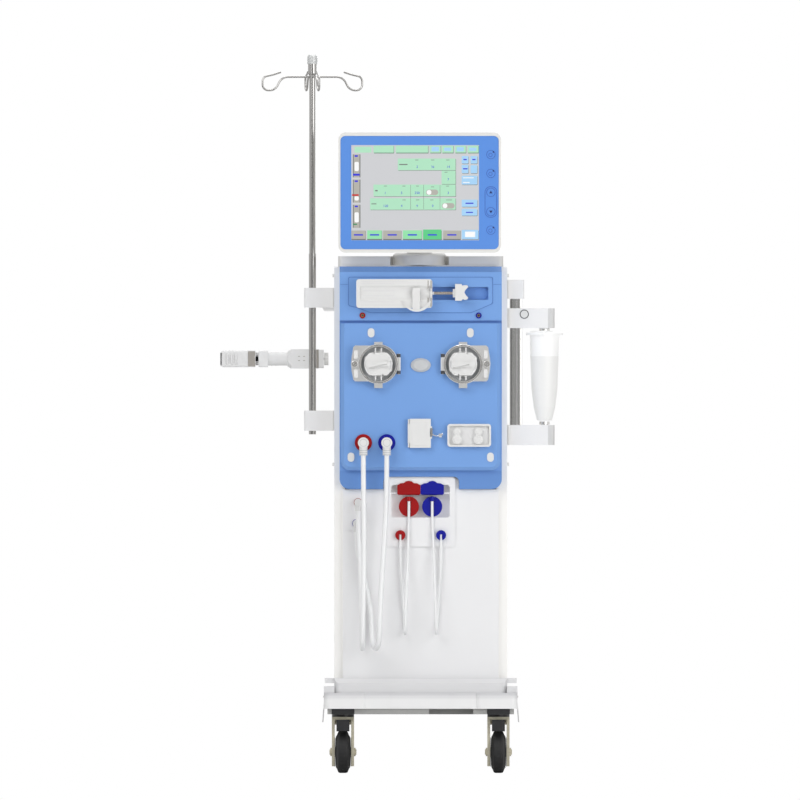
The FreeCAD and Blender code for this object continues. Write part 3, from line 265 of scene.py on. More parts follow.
WHITE = surface("white_cover", srgb(236, 236, 237), 0.5, 0.012, FINE_GRAIN, 0.1)
COVER_TOP = surface("grey_cover", srgb(219, 218, 216), 0.5, 0.02, FINE_GRAIN, 0.1)
PLASTIC = surface("white_plastic", srgb(226, 226, 225), 0.36, 0.012, FINE_GRAIN, 0.05, Coat_Weight=0.1)
GREY_PLASTIC = surface("grey_plastic", srgb(222, 222, 222), 0.42, 0.02, FINE_GRAIN, 0.06)
DARK_PLASTIC = surface("dark_plastic", srgb(62, 63, 66), 0.45, 0.05, FINE_GRAIN, 0.08)
BLACK = surface("black_plastic", srgb(28, 28, 30), 0.42, 0.08, FINE_GRAIN, 0.12)
RUBBER = surface("wheel_rubber", srgb(20, 20, 21), 0.62, 0.12, 700, 0.35)
CREAM = surface("cream_paint", srgb(204, 198, 176), 0.42, 0.05, SOFT_GRAIN, 0.15, Coat_Weight=0.2)
repaint(CREAM, FORK_PLATE, srgb(24, 24, 26))
CHASSIS = surface("grey_paint", srgb(158, 158, 156), 0.5, 0.06, 800, 0.2)
RED = surface("red_plastic", srgb(158, 4, 8), 0.34, 0.06, FINE_GRAIN, 0.05, Specular_IOR_Level=0.3)
BLUE = surface("blue_plastic", srgb(10, 18, 148), 0.34, 0.06, FINE_GRAIN, 0.05, Specular_IOR_Level=0.3)
# A slightly darker copy of the panel blue: painted shade in the syringe drive trough
TROUGH_SHADE_BLUE = surface("trough_shaded_blue", srgb(104, 152, 220), 0.4, 0.04, FINE_GRAIN, 0.05)
MONITOR_BLUE = surface("monitor_film", srgb(88, 143, 224), 0.34, 0.012, FINE_GRAIN, 0.03, Coat_Weight=0.3)
KEY_BLUE = surface("key_print", srgb(52, 78, 168), 0.36, 0.04, FINE_GRAIN, 0.03)
KEY_DARK = surface("key_mark", srgb(24, 34, 92), 0.36, 0.04, FINE_GRAIN, 0.03)
STEEL = metal("pole_steel", (0.42, 0.412, 0.4, 1), 0.2)
# Painted reflection on the station's steel bar: lighter bar, painted shade in the groove, painted highlight
# on the ridge
repaint(STEEL, STATION_BAR_REFLECTION, (0.82, 0.815, 0.8, 1), "X")
repaint(STEEL, BAR_GROOVE_SHADE, (0.5, 0.495, 0.485, 1), "X")
repaint(STEEL, BAR_RIDGE_HIGHLIGHT, (1, 0.995, 0.98, 1), "X")
ROD_STEEL = metal("rod_steel", (0.5, 0.44, 0.38, 1), 0.26)
BRIGHT = metal("bright_steel", (0.78, 0.77, 0.75, 1), 0.22)
BRASS = metal("brass", (0.62, 0.47, 0.24, 1), 0.28)
UNITS = metal("inner_units", (0.5, 0.5, 0.52, 1), 0.45)
# The frosted shell is translucent; its white glow is painted light that flattens its shading and stands for
# the light scattered through it
FROST = surface("frosted_shell", srgb(228, 228, 227), 0.35, 0.01, SOFT_GRAIN, 0.08, **painted_glow(0.22))
repaint(FROST, POWDER_FILL, srgb(212, 212, 210))
POWDER = surface("powder", (0.86, 0.86, 0.85, 1), 0.85, 0.03, SOFT_GRAIN, 0.5)
HOSE_SOCKETS = {"Transmission_Weight": 0.1, "Coat_Weight": 0.2}
HOSE = surface("silicone_hose", (0.95, 0.955, 0.96, 1), 0.3, 0.01, METAL_GRAIN, 0.03, **HOSE_SOCKETS)
CLEAR_CAP = surface("clear_cap", (0.88, 0.9, 0.9, 1), 0.25, 0.02, SOFT_GRAIN, 0.05, Transmission_Weight=0.4)
# Grey for the strip under each crank's ridge: painted shadow
CRANK_SHADOW_GREY = surface("crank_painted_shadow", srgb(198, 198, 197), 0.45, 0.02, FINE_GRAIN, 0.06)
ROD_GREY = surface("warm_grey", srgb(158, 153, 147), 0.45, 0.05, FINE_GRAIN, 0.08)
HOUSING = surface("housing_white", srgb(226, 225, 222), 0.42, 0.012, FINE_GRAIN, 0.06)
# The side covers glow faintly, painted light that lifts their shaded rounded corners; their white is tinted
# warm against the blue light bounced from the panel
SIDE_WHITE = surface("side_white", srgb(240, 239, 236), 0.5, 0.012, FINE_GRAIN, 0.08, **painted_glow(0.06))
# Glowing white for a sheet in the connector bay: painted light in the recess
BAY_GLOW = surface("bay_painted_light", srgb(246, 246, 247), 0.5, 0.012, FINE_GRAIN, 0.05, **painted_glow(0.22))
BASE_WHITE = surface("base_white", srgb(224, 224, 225), 0.5, 0.012, FINE_GRAIN, 0.1)
# Painted shade in the gap under the lower panel and at the tier step, painted light on the lower tier's
# front
repaint(BASE_WHITE, BASE_SHADOW_GAP, srgb(196, 196, 198))
repaint(BASE_WHITE, BASE_STEP_SHADE, srgb(208, 208, 210), soft=0.002)
repaint(BASE_WHITE, BASE_FRONT_LIGHT, srgb(238, 238, 238), soft=0.003)
KNURL = surface("knurl_grey", srgb(196, 198, 200), 0.4, 0.02, FINE_GRAIN, 0.06)
# Darker blue for the line along the raised surround's edge: painted shade
PANEL_EDGE_SHADE = surface("panel_edge_shade", srgb(80, 122, 190), 0.4, 0.02, FINE_GRAIN, 0.05)
RACEWAY_GREY = surface("raceway_grey", srgb(196, 198, 200), 0.4, 0.08, SOFT_GRAIN, 0.1)
STATION = surface("station_white", srgb(236, 236, 237), 0.5, 0.012, FINE_GRAIN, 0.1)
# Painted shade on the rounded right end of the station arm and its end pieces
repaint(STATION, STATION_END_SHADE, srgb(208, 208, 208), "X")
PANEL = panel_blue()
PUMP = pump_metal()

FINISHES = {
    "chassis_frame": CHASSIS,
    "base_cover": BASE_WHITE,
    "side_covers": SIDE_WHITE,
    "rear_cover": WHITE,
    "top_cover": COVER_TOP,
    "front_panel": PANEL,
    "lower_front_panel": WHITE,
    "connector_bay": WHITE,
    "hydraulic_unit": UNITS,
    "power_supply": UNITS,
    "screw_covers": PLASTIC,
    "oval_holder": KNURL,
    "red_ports": RED,
    "blue_ports": BLUE,
    "hose_elbows": PLASTIC,
    "red_flap": RED,
    "blue_flap": BLUE,
    "tube_clip_block": PLASTIC,
    "detector_body": PLASTIC,
    "detector_door": PLASTIC,
    "detector_latch": BRIGHT,
    "pump_housings": PUMP,
    "syringe_cradle": PLASTIC,
    "syringe_clamp": PLASTIC,
    "syringe_pusher": PLASTIC,
    "pole_brackets": WHITE,
    "steel_posts": STEEL,
    "inner_pole": STEEL,
    "holder_clamp": GREY_PLASTIC,
    "holder_knob": PLASTIC,
    "holder_arm": GREY_PLASTIC,
    "holder_jaw": GREY_PLASTIC,
    "station_ends": STATION,
    "station_arm": STATION,
    "station_button": PLASTIC,
    "cartridge": FROST,
    "monitor_neck": COVER_TOP,
    "monitor_housing": HOUSING,
    "monitor_bezel": MONITOR_BLUE,
    "screen": lit("screen_field", srgb(206, 207, 210)),
}
for side in ("left", "right"):
    FINISHES[f"{side}_pump_cover"] = PUMP
    FINISHES[f"{side}_rotor"] = PLASTIC
    FINISHES[f"{side}_crank"] = PLASTIC
CORNERS = {"front_left": (-1, -1), "front_right": (1, -1), "rear_left": (-1, 1), "rear_right": (1, 1)}
for corner in CORNERS:
    FINISHES[f"caster_fork_{corner}"] = CREAM
    FINISHES[f"caster_wheel_{corner}"] = RUBBER
    if corner.startswith("front"):
        FINISHES[f"brake_pedal_{corner}"] = BLACK


def finish_nodes():
    for name, material in FINISHES.items():
        slots = NODES[name].data.materials
        slots.clear()
        slots.append(material)


# Mesh helpers
def piece(name, mesh, material, body, smooth=False):
    data = bpy.data.meshes.new(name)
    bmesh.ops.recalc_face_normals(mesh, faces=mesh.faces)
    mesh.to_mesh(data)
    mesh.free()
    item = bpy.data.objects.new(name, data)
    bpy.context.scene.collection.objects.link(item)
    data.materials.append(material)
    if smooth:
        data.shade_smooth()
    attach(item, body)
    return item


def rounded(x, z, radius, steps=5):
    points = []
    corners = ((x[1], z[1], 0), (x[0], z[1], 90), (x[0], z[0], 180), (x[1], z[0], 270))
    for corner_x, corner_z, start in corners:
        middle_x = corner_x - math.copysign(radius, corner_x - sum(x) / 2)
        middle_z = corner_z - math.copysign(radius, corner_z - sum(z) / 2)
        for step in range(steps + 1):
            angle = math.radians(start + 90 * step / steps)
            points.append((middle_x + radius * math.cos(angle), middle_z + radius * math.sin(angle)))
    return points


def circle(x, z, radius, steps=32):
    turns = [2 * math.pi * step / steps for step in range(steps)]
    return [(x + radius * math.cos(turn), z + radius * math.sin(turn)) for turn in turns]


def bridge(mesh, first, second):
    for index in range(len(first)):
        after = (index + 1) % len(first)
        mesh.faces.new((first[index], first[after], second[after], second[index]))


def plate(mesh, outline, y, edge=0.15):
    rings = []
    middle_x = sum(point[0] for point in outline) / len(outline)
    middle_z = sum(point[1] for point in outline) / len(outline)
    for depth, inset in ((y[1], 0), (y[0] + edge, 0), (y[0], edge)):
        ring = []
        for x, z in outline:
            reach = math.hypot(x - middle_x, z - middle_z)
            share = 1 - inset / max(reach, 0.1)
            spot = at(middle_x + (x - middle_x) * share, depth, middle_z + (z - middle_z) * share)
            ring.append(mesh.verts.new(spot))
        rings.append(ring)
    for first, second in zip(rings, rings[1:]):
        bridge(mesh, first, second)
    mesh.faces.new(rings[0])
    mesh.faces.new(rings[-1])


def softened(points, reach, steps=4):
    soft = []
    for before, corner, after in zip(points[-1:] + points[:-1], points, points[1:] + points[:1]):
        middle = Vector(corner)
        start = middle + (Vector(before) - middle).normalized() * reach
        end = middle + (Vector(after) - middle).normalized() * reach
        for step in range(steps + 1):
            t = step / steps
            soft.append(start * (1 - t) ** 2 + middle * 2 * t * (1 - t) + end * t ** 2)
    return soft


def frame_loop(mesh, outer, inner, front, back):
    loop = []
    for depth, outline in ((back, outer), (front, outer), (front, inner), (back, inner)):
        loop.append([mesh.verts.new(at(x, depth, z)) for x, z in outline])
    for first, second in zip(loop, loop[1:] + loop[:1]):
        bridge(mesh, first, second)


def strip(mesh, points, width, y, edge=0.3):
    upper = [(x, z + width / 2) for x, z in points]
    lower = [(x, z - width / 2) for x, z in reversed(points)]
    plate(mesh, upper + lower, y, edge)


def turned_rings(mesh, profile, centre, along, steps):
    turn = Vector(UP).rotation_difference(Vector(along)).to_matrix()
    rings = []
    for radius, height in profile:
        ring = []
        for step in range(steps):
            angle = 2 * math.pi * step / steps
            offset = Vector((radius * math.cos(angle), radius * math.sin(angle), height)) * MM
            ring.append(mesh.verts.new(centre + turn @ offset))
        rings.append(ring)
    return rings


def lathe(mesh, profile, centre, along, steps=32):
    rings = turned_rings(mesh, profile, centre, along, steps)
    for first, second in zip(rings, rings[1:] + rings[:1]):
        bridge(mesh, first, second)


def solid_turn(mesh, profile, centre, along, steps=24):
    rings = turned_rings(mesh, profile, centre, along, steps)
    for first, second in zip(rings, rings[1:]):
        bridge(mesh, first, second)
    mesh.faces.new(rings[0])
    mesh.faces.new(rings[-1])


# Camera, light and floor
PHOTO_SCALE = 2.38
PHOTO_MIDDLE = (400 - 420.7) * PHOTO_SCALE
PHOTO_HEIGHT = (773 - 400) * PHOTO_SCALE
CAMERA_AWAY = 6.0
FRAME_WIDTH = 800 * PHOTO_SCALE * MM


def make_camera():
    data = bpy.data.cameras.new("camera")
    data.type = "ORTHO"
    data.ortho_scale = FRAME_WIDTH
    data.clip_end = 60
    camera = bpy.data.objects.new("camera", data)
    camera.location = at(PHOTO_MIDDLE, FACE_LOWER, PHOTO_HEIGHT) - Vector((0, CAMERA_AWAY, 0))
    camera.rotation_euler = (math.pi / 2, 0, 0)
    bpy.context.scene.collection.objects.link(camera)
    bpy.context.scene.camera = camera


def lamp(name, spot, target, size, power):
    data = bpy.data.lights.new(name, "AREA")
    data.shape = "RECTANGLE"
    data.size, data.size_y = size
    data.energy = power
    item = bpy.data.objects.new(name, data)
    item.location = spot
    item.rotation_euler = (Vector(target) - Vector(spot)).to_track_quat("-Z", "Y").to_euler()
    bpy.context.scene.collection.objects.link(item)


def seen_directly(nodes, links):
    path = nodes.new("ShaderNodeLightPath")
    larger = nodes.new("ShaderNodeMath")
    larger.operation = "MAXIMUM"
    links.new(path.outputs["Is Camera Ray"], larger.inputs[0])
    links.new(path.outputs["Is Transmission Ray"], larger.inputs[1])
    return larger.outputs["Value"], path.outputs["Is Glossy Ray"]


def reflected_room(nodes, links):
    place = nodes.new("ShaderNodeTexCoord")
    split = nodes.new("ShaderNodeSeparateXYZ")
    links.new(place.outputs["Generated"], split.inputs["Vector"])
    ramp = nodes.new("ShaderNodeMapRange")
    ramp.inputs["From Min"].default_value = -1.0
    ramp.inputs["From Max"].default_value = -0.45
    ramp.inputs["To Min"].default_value = 0.25
    ramp.inputs["To Max"].default_value = 1.1
    links.new(split.outputs["Y"], ramp.inputs["Value"])
    room = nodes.new("ShaderNodeBackground")
    links.new(ramp.outputs["Result"], room.inputs["Strength"])
    return room.outputs["Background"]


def mix_shaders(nodes, links, factor, first, second):
    mix = nodes.new("ShaderNodeMixShader")
    links.new(factor, mix.inputs["Fac"])
    links.new(first, mix.inputs[1])
    links.new(second, mix.inputs[2])
    return mix.outputs["Shader"]


def make_world():
    world = bpy.data.worlds.new("studio")
    world.use_nodes = True
    nodes = world.node_tree.nodes
    links = world.node_tree.links
    plain = nodes["Background"]
    plain.inputs["Color"].default_value = (1, 1, 1, 1)
    plain.inputs["Strength"].default_value = 0.42
    white = nodes.new("ShaderNodeBackground")
    white.inputs["Color"].default_value = (1, 1, 1, 1)
    white.inputs["Strength"].default_value = 1.0
    direct, glossy = seen_directly(nodes, links)
    unseen = mix_shaders(nodes, links, glossy, plain.outputs["Background"], reflected_room(nodes, links))
    shown = mix_shaders(nodes, links, direct, unseen, white.outputs["Background"])
    links.new(shown, nodes["World Output"].inputs["Surface"])
    bpy.context.scene.world = world


def make_floor():
    mesh = bmesh.new()
    bmesh.ops.create_grid(mesh, x_segments=8, y_segments=8, size=14)
    data = bpy.data.meshes.new("floor")
    mesh.to_mesh(data)
    mesh.free()
    floor = bpy.data.objects.new("floor", data)
    bpy.context.scene.collection.objects.link(floor)
    material, nodes, links, shader = new_material("floor")
    shader.inputs["Base Color"].default_value = (0.86, 0.86, 0.86, 1)
    shader.inputs["Roughness"].default_value = 0.8
    lamp_like = nodes.new("ShaderNodeEmission")
    lamp_like.inputs["Strength"].default_value = 1.14
    share = nodes.new("ShaderNodeMath")
    share.operation = "MULTIPLY"
    share.inputs[1].default_value = 0.86
    links.new(seen_directly(nodes, links)[0], share.inputs[0])
    lit_side = lamp_like.outputs["Emission"]
    shown = mix_shaders(nodes, links, share.outputs["Value"], shader.outputs["BSDF"], lit_side)
    links.new(shown, nodes["Material Output"].inputs["Surface"])
    data.materials.append(material)


def make_studio():
    make_camera()
    make_world()
    make_floor()
    bpy.context.scene.view_settings.view_transform = "Standard"
    middle = (CENTRE_X, MID_DEPTH, 0.9)
    lamp("key", (-1.8, -3.4, 2.9), middle, (2.4, 2.4), 54)
    lamp("fill", (2.2, -3.4, 1.3), middle, (2.4, 2.4), 50)
    lamp("top", (0, 0.4, 3.6), middle, (2.0, 2.0), 30)
    lamp("rear", (0.5, 3.2, 2.2), middle, (2.4, 2.0), 26)


# Hoses and tubes
def turn_back(front, rear, low, share=0.293):
    (x0, y0), (x1, y1) = front, rear
    drop = math.hypot(x1 - x0, y1 - y0) * share
    steps = ((0, drop), (share, 0), (1 - share, 0), (1, drop))
    return [(x0 + (x1 - x0) * t, y0 + (y1 - y0) * t, low + up) for t, up in steps]


def hose(name, points, radius):
    data = bpy.data.curves.new(name, "CURVE")
    data.dimensions = "3D"
    line = data.splines.new("NURBS")
    line.points.add(len(points) - 1)
    for knot, point in zip(line.points, points):
        knot.co = (*at(*point), 1)
    line.order_u = 3
    line.use_endpoint_u = True
    line.resolution_u = 16
    data.bevel_depth = radius * MM
    data.bevel_resolution = 5
    data.use_fill_caps = True
    data.materials.append(HOSE)
    item = bpy.data.objects.new(f"{name}_soft", data)
    bpy.context.scene.collection.objects.link(item)
    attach(item, "cabinet")
    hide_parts(name)


def make_hoses():
    red = [(-136.4, -274, 765.9), (-136.4, -274, 700), (-135.2, -283, 620)]
    red += [(-134.6, -301, 500), (-137, -322, 385)]
    red += turn_back((-138.4, -322), (-139.6, -241), 296)
    red += [(-140.5, -241, 385), (-143.5, -241.5, 490), (-149, -244, 578), (-149, -244, 634)]
    hose("dialysate_hose_red", red, HOSE_RADIUS)
    blue = [(-80.8, -274, 765.9), (-80.8, -274, 700), (-82.6, -281, 620)]
    blue += [(-90, -293, 500), (-97.5, -306, 385)]
    blue += turn_back((-98, -306), (-116.4, -227), 296)
    blue += [(-117.5, -227, 380), (-131, -226, 450), (-153, -226, 530), (-153, -226, 584)]
    hose("dialysate_hose_blue", blue, HOSE_RADIUS)
    for name, side, top_x in (("suction_tube_red", -1, -28), ("suction_tube_blue", 1, 27.3)):
        points = [(top_x, -219, 653), (top_x, -219, 638), (top_x * 1.01, -223.2, 606)]
        points += [(side * 30.5, -229, 530), (side * 33.5, -243, 450), (side * 36, -262.5, 378)]
        points += turn_back((side * 36.4, -262.5), (side * 38.6, -218.6), 331)
        points += [(side * 39.5, -218.6, 378), (side * 44, -223, 440), (side * 48.5, -223, 500)]
        points += [(side * 48.5, -223, 568)]
        hose(name, points, TUBE_RADIUS)


# Screen picture, plain panels, bars and numbers that copy no wording
PALE_GREEN = lit("pale_green", srgb(178, 228, 196))
MINT = lit("mint", srgb(150, 226, 172))
STRONG_GREEN = lit("strong_green", srgb(98, 206, 138))
PALE_BLUE = lit("pale_blue", srgb(168, 212, 246))
SCREEN_GREY = lit("screen_grey", srgb(180, 178, 170))
SCREEN_DARK = lit("screen_dark", srgb(120, 122, 120))
SCREEN_SHADE = lit("screen_shade", srgb(112, 146, 122))
SCREEN_WHITE = lit("screen_white", srgb(250, 250, 250))
SCREEN_INK = lit("screen_ink", srgb(62, 62, 214))
SCREEN_RED = lit("screen_red", srgb(200, 50, 50))
SCREEN_LEAF = lit("screen_leaf", srgb(60, 140, 90))


def on_screen(u, v):
    return (SCREEN_LEFT + u, SCREEN_TOP - v)


def tiles(name, areas, layer, material, radius=0.8):
    mesh = bmesh.new()
    front = GLASS - 0.1 - 0.06 * layer
    for left, right, top, bottom in areas:
        (x0, z1), (x1, z0) = on_screen(left, top), on_screen(right, bottom)
        limit = min(radius, (x1 - x0) / 2.1, (z1 - z0) / 2.1)
        plate(mesh, rounded((x0, x1), (z0, z1), limit, 3), (front, GLASS), 0.04)
    piece(name, mesh, material, "monitor")


def number(text, u, v, size):
    data = bpy.data.curves.new("number", "FONT")
    data.body = text
    data.size = size * MM
    data.align_x = "CENTER"
    data.align_y = "CENTER"
    data.extrude = 0.05 * MM
    data.materials.append(SCREEN_INK)
    item = bpy.data.objects.new(f"number_{int(u)}_{int(v)}", data)
    x, z = on_screen(u, v)
    item.location = at(x, GLASS - 0.4, z)
    item.rotation_euler = (math.pi / 2, 0, 0)
    bpy.context.scene.collection.objects.link(item)
    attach(item, "monitor")


def make_screen():
    top = [(53, 101), (106, 183), (187, 213), (216, 243), (247, 273), (277, 303)]
    tiles("screen_top_shade", [(a + 1, b + 1, 2.4, 20) for a, b in top], 0, SCREEN_SHADE)
    tiles("screen_top", [(8, 48, 4, 18)] + [(a, b, 1.5, 18) for a, b in top], 1, PALE_GREEN)
    icons = [(191, 209, 4, 15), (221, 238, 6, 14), (251, 268, 5, 15), (281, 298, 6, 14)]
    tiles("screen_top_icons", icons, 2, PALE_BLUE)
    panels = [(111, 248.5, 32, 60), (215, 248.5, 61, 93), (53, 248.5, 94, 122), (45, 248.5, 126.5, 154)]
    tiles("screen_panel_shade", [(a + 1, b + 1, c + 1, d + 1) for a, b, c, d in panels], 0, SCREEN_DARK)
    tiles("screen_panels", panels, 1, PALE_GREEN)
    lines = [(x, x + 0.7, 95, 153) for x in (141, 172, 211)]
    short = ((78, 97), (122, 97), (154, 97), (190, 99), (226, 97), (222, 64))
    lines += [(a, a + 7, c, c + 1.2) for a, c in short]
    longer = ((152, 35), (190, 35), (226, 35), (122, 130), (154, 130), (188, 130))
    lines += [(a, a + 8, c, c + 1.2) for a, c in longer]
    lines += [(114, 134, 45, 47.5), (57, 63, 107, 110), (48, 60, 139, 141), (226, 240, 130, 131.2)]
    tiles("screen_marks", lines, 2, SCREEN_DARK, 0.2)
    tiles("screen_switch", [(178, 207, 106, 119), (216, 246, 138, 151)], 2, SCREEN_GREY, 6.2)
    knobs = [(179.5, 191, 106.8, 118.2), (217.5, 229, 138.8, 150.2)]
    tiles("screen_switch_knob", knobs, 3, SCREEN_WHITE, 5.4)
    gauges = [(4, 22, 22 + 60 * step, 77 + 60 * step) for step in range(3)]
    tiles("gauge_frames", gauges, 0, SCREEN_GREY)
    edges = [(a, a + 2, c, d) for a, b, c, d in gauges]
    edges += [(b - 2, b, c, d) for a, b, c, d in gauges]
    tiles("gauge_edges", edges, 1, SCREEN_DARK)
    tiles("gauge_bars", [(8, 18, 40, 62), (8, 18, 122, 132), (8, 18, 160, 184)], 1, SCREEN_WHITE, 3)
    tiles("gauge_red", [(2, 18, 117, 121)], 2, SCREEN_RED)
    tiles("gauge_leaf", [(4, 14, 187, 190)], 2, SCREEN_LEAF)
    marks = [(8, 16, 24, 28), (4, 20, 68, 73), (8, 16, 84, 88), (8, 16, 144, 148)]
    tiles("gauge_marks", marks, 2, SCREEN_INK)
    side = [(263, 279, 26, 44), (284, 300, 26, 44), (263, 279, 47, 67), (284, 300, 48, 67)]
    side += [(263, 300, 73, 94), (263, 300, 130, 147), (263, 300, 152, 168), (263, 303, 202, 224)]
    tiles("side_shade", [(a + 0.8, b + 0.8, c + 1.2, d + 1.2) for a, b, c, d in side], 0, SCREEN_DARK, 1.5)
    tiles("side_buttons", side, 1, PALE_BLUE, 1.5)
    marks = [(267, 275, 33, 36), (288, 296, 33, 36), (266, 277, 55, 58)]
    marks += [(272, 291, 137, 140), (273, 290, 159, 161.5)]
    tiles("side_marks", marks, 2, SCREEN_INK)
    lights = [(266, 292, 77, 79), (266, 282, 88, 90), (271, 295, 206, 219)]
    tiles("side_light", lights, 2, SCREEN_WHITE)
    tabs = [(0.5, 34), (38, 73), (76, 119), (123, 168), (171, 215), (219, 260)]
    tiles("tab_shade", [(a, b + 0.8, 204, 226.2) for a, b in tabs], 0, SCREEN_DARK)
    tiles("tabs_grey", [(a, b, 203.5, 223.5) for a, b in (tabs[0], tabs[2], tabs[5])], 1, SCREEN_GREY)
    tiles("tabs_mint", [(a, b, 203, 223.5) for a, b in (tabs[1], tabs[3])], 1, MINT)
    tiles("tab_green", [(tabs[4][0], tabs[4][1], 201, 224.5)], 1, STRONG_GREEN)
    tiles("tab_marks", [((a + b) / 2 - 11, (a + b) / 2 + 11, 212, 215.5) for a, b in tabs], 2, SCREEN_INK)
    values = [("2", 157, 52), ("36", 194, 52), ("14", 231, 52), ("7", 231, 82), ("1", 81, 114)]
    values += [("5", 120, 114), ("250", 157, 114), ("3", 231, 114), ("120", 82, 145), ("4", 120, 145)]
    values += [("9", 157, 145), ("0", 194, 145)]
    for text, u, v in values:
        number(text, u, v, 8)


def ring_plate(mesh, x, z, outer, inner, y):
    lathe(mesh, [(outer, 0), (outer, 0.25), (inner, 0.25), (inner, 0)], at(x, y, z), FORWARD, 40)


def make_keys():
    ring_mesh = bmesh.new()
    mark_mesh = bmesh.new()
    for z in (1472, 1427, 1292):
        ring_plate(ring_mesh, 167, z, 10.6, 9.6, BEZEL - 0.45)
        ring_plate(ring_mesh, 166, z - 1, 4.6, 3.6, BEZEL - 0.45)
        plate(mark_mesh, circle(173, z + 6, 2, 16), (BEZEL - 0.75, BEZEL - 0.4))
    for z, sign in ((1382, 1), (1336, -1)):
        ring_plate(ring_mesh, 167, z, 10.6, 9.6, BEZEL - 0.45)
        arrow = [(163, z - sign * 2.5), (171, z - sign * 2.5), (167, z + sign * 4)]
        plate(mark_mesh, arrow, (BEZEL - 0.75, BEZEL - 0.4))
    steps = rounded((152.6, 181.4), (1322, 1396), 13, 8)
    inner = rounded((153.6, 180.4), (1323, 1395), 12.2, 8)
    frame_loop(ring_mesh, steps, inner, BEZEL - 0.25, BEZEL - 0.02)
    piece("key_rings", ring_mesh, KEY_BLUE, "monitor")
    piece("key_marks", mark_mesh, KEY_DARK, "monitor")


# Small fasteners
def screw(mesh, x, y, z, along, radius=3.0):
    profile = [(radius, 0), (radius, 0.8), (radius * 0.7, 1.6), (radius * 0.45, 1.7), (radius * 0.4, 0.7)]
    solid_turn(mesh, profile, at(x, y, z), along, 18)


def make_screws():
    mesh = bmesh.new()
    for side in (-1, 1):
        for z in (260, 520, 800, 1080, 1190):
            screw(mesh, side * 178, 210, z, BACKWARD)
        for y in (-60, 150):
            screw(mesh, side * 230.4, y, 182, (side, 0, 0))
    piece("cover_screws", mesh, BRIGHT, "cabinet", True)
    mesh = bmesh.new()
    for side in (-1, 1):
        for z in (1275, 1490):
            screw(mesh, -2.6 + side * 150, -217, z, BACKWARD)
    piece("monitor_screws", mesh, BRIGHT, "monitor", True)


def make_caster_trim():
    for corner, (side, depth) in CORNERS.items():
        x, y = side * CASTER_X, depth * CASTER_Y - CASTER_TRAIL
        bolts = bmesh.new()
        for way in (-1, 1):
            head = [(6.4, 0), (6.4, 1.6), (5.2, 2.2)]
            solid_turn(bolts, head, at(x + way * AXLE_END, y, WHEEL_RADIUS), (way, 0, 0), 6)
        piece(f"axle_bolts_{corner}", bolts, CREAM, f"caster_{corner}")
        guards = bmesh.new()
        for way in (-1, 1):
            ring = [(35, 0), (35, 1), (8, 1), (8, 0)]
            lathe(guards, ring, at(x + way * (WHEEL_FACE + 1.45), y, WHEEL_RADIUS), (way, 0, 0), 40)
        piece(f"thread_guards_{corner}", guards, BLACK, f"caster_{corner}")
        hub = bmesh.new()
        for way in (-1, 1):
            ring = [(33, 0), (33, 0.8), (14, 1.2), (14, 0)]
            lathe(hub, ring, at(x + way * WHEEL_FACE, y, WHEEL_RADIUS), (way, 0, 0), 40)
        piece(f"wheel_disc_{corner}", hub, DARK_PLASTIC, f"wheel_{corner}")


# Trim on the front
def make_port_trim():
    mesh = bmesh.new()
    ring = [(3.7, 0), (3.7, 1.4), (2.3, 1.4), (2.3, 0)]
    for x in (-138.5, 138):
        lathe(mesh, ring, at(x, FACE_UPPER - 4, 1089), FORWARD, 24)
    piece("luer_rings", mesh, BRASS, "cabinet")
    mesh = bmesh.new()
    collar = [(13.1, 0), (13.1, 6), (12.95, 6.6), (12.95, 0)]
    for x in PORT_X:
        lathe(mesh, collar, at(x, FACE_LOWER - 2, PORT_Z), FORWARD, 32)
    piece("elbow_collars", mesh, PLASTIC, "cabinet")
    mesh = bmesh.new()
    rib = [(9.95, 0), (10.15, 0.6), (10.15, 1.6), (9.95, 2.2), (9.5, 2.2), (9.5, 0)]
    for x in PORT_X:
        lathe(mesh, [(9.2, 0), (9.2, 0.5), (7.9, 0.5), (7.9, 0)], at(x, -285.6, PORT_Z), FORWARD, 32)
        for low in (756.2, 761.4, 766.6):
            lathe(mesh, rib, at(x, ELBOW_Y, low), UP, 32)
    piece("elbow_knurls", mesh, KNURL, "cabinet")


# A glowing white sheet on the back, walls and floor of the connector bay's recess: painted light where the
# recess is shaded
def make_bay_light_sheet():
    mesh = bmesh.new()
    plate(mesh, rounded((-70.6, 69.6), (607.4, 685.6), 3, 4), (-190.7, -190.1), 0.1)
    for low, high in ((-70.9, -70.3), (69.3, 69.9)):
        plate(mesh, [(low, 608), (high, 608), (high, 685), (low, 685)], (-216, -190.2), 0.1)
    plate(mesh, [(-70, 607.1), (69, 607.1), (69, 607.7), (-70, 607.7)], (-216, -190.2), 0.1)
    piece("bay_light_sheet", mesh, BAY_GLOW, "cabinet")


def make_caster_pads():
    mesh = bmesh.new()
    for x in (-CASTER_X, CASTER_X):
        plate(mesh, rounded((x - 27, x + 27), (139.9, 152.6), 1, 3), (-281.8, -279.9), 0.4)
    piece("caster_pads", mesh, BLACK, "cabinet")


def make_flap_trim():
    for name, low, high, material in (("red_flap", -52, -4.5, RED), ("blue_flap", 3.7, 51.4, BLUE)):
        mesh = bmesh.new()
        outer = rounded((low, high), (673, 685.5), 3, 4)
        plate(mesh, outer, (-221.5, -221), 0.3)
        inset = rounded((low + 12, high - 12), (675, 683), 2.5, 4)
        plate(mesh, inset, (-221.8, -221.4), 0.2)
        piece(f"{name}_relief", mesh, material, name)


def lens_outline(x, z, radius, half, steps=14):
    spread_angle = math.asin(half / radius)
    points = []
    for start in (0, math.pi):
        for step in range(steps + 1):
            angle = start - spread_angle + 2 * spread_angle * step / steps
            points.append((x + radius * math.cos(angle), z + radius * math.sin(angle)))
    return points


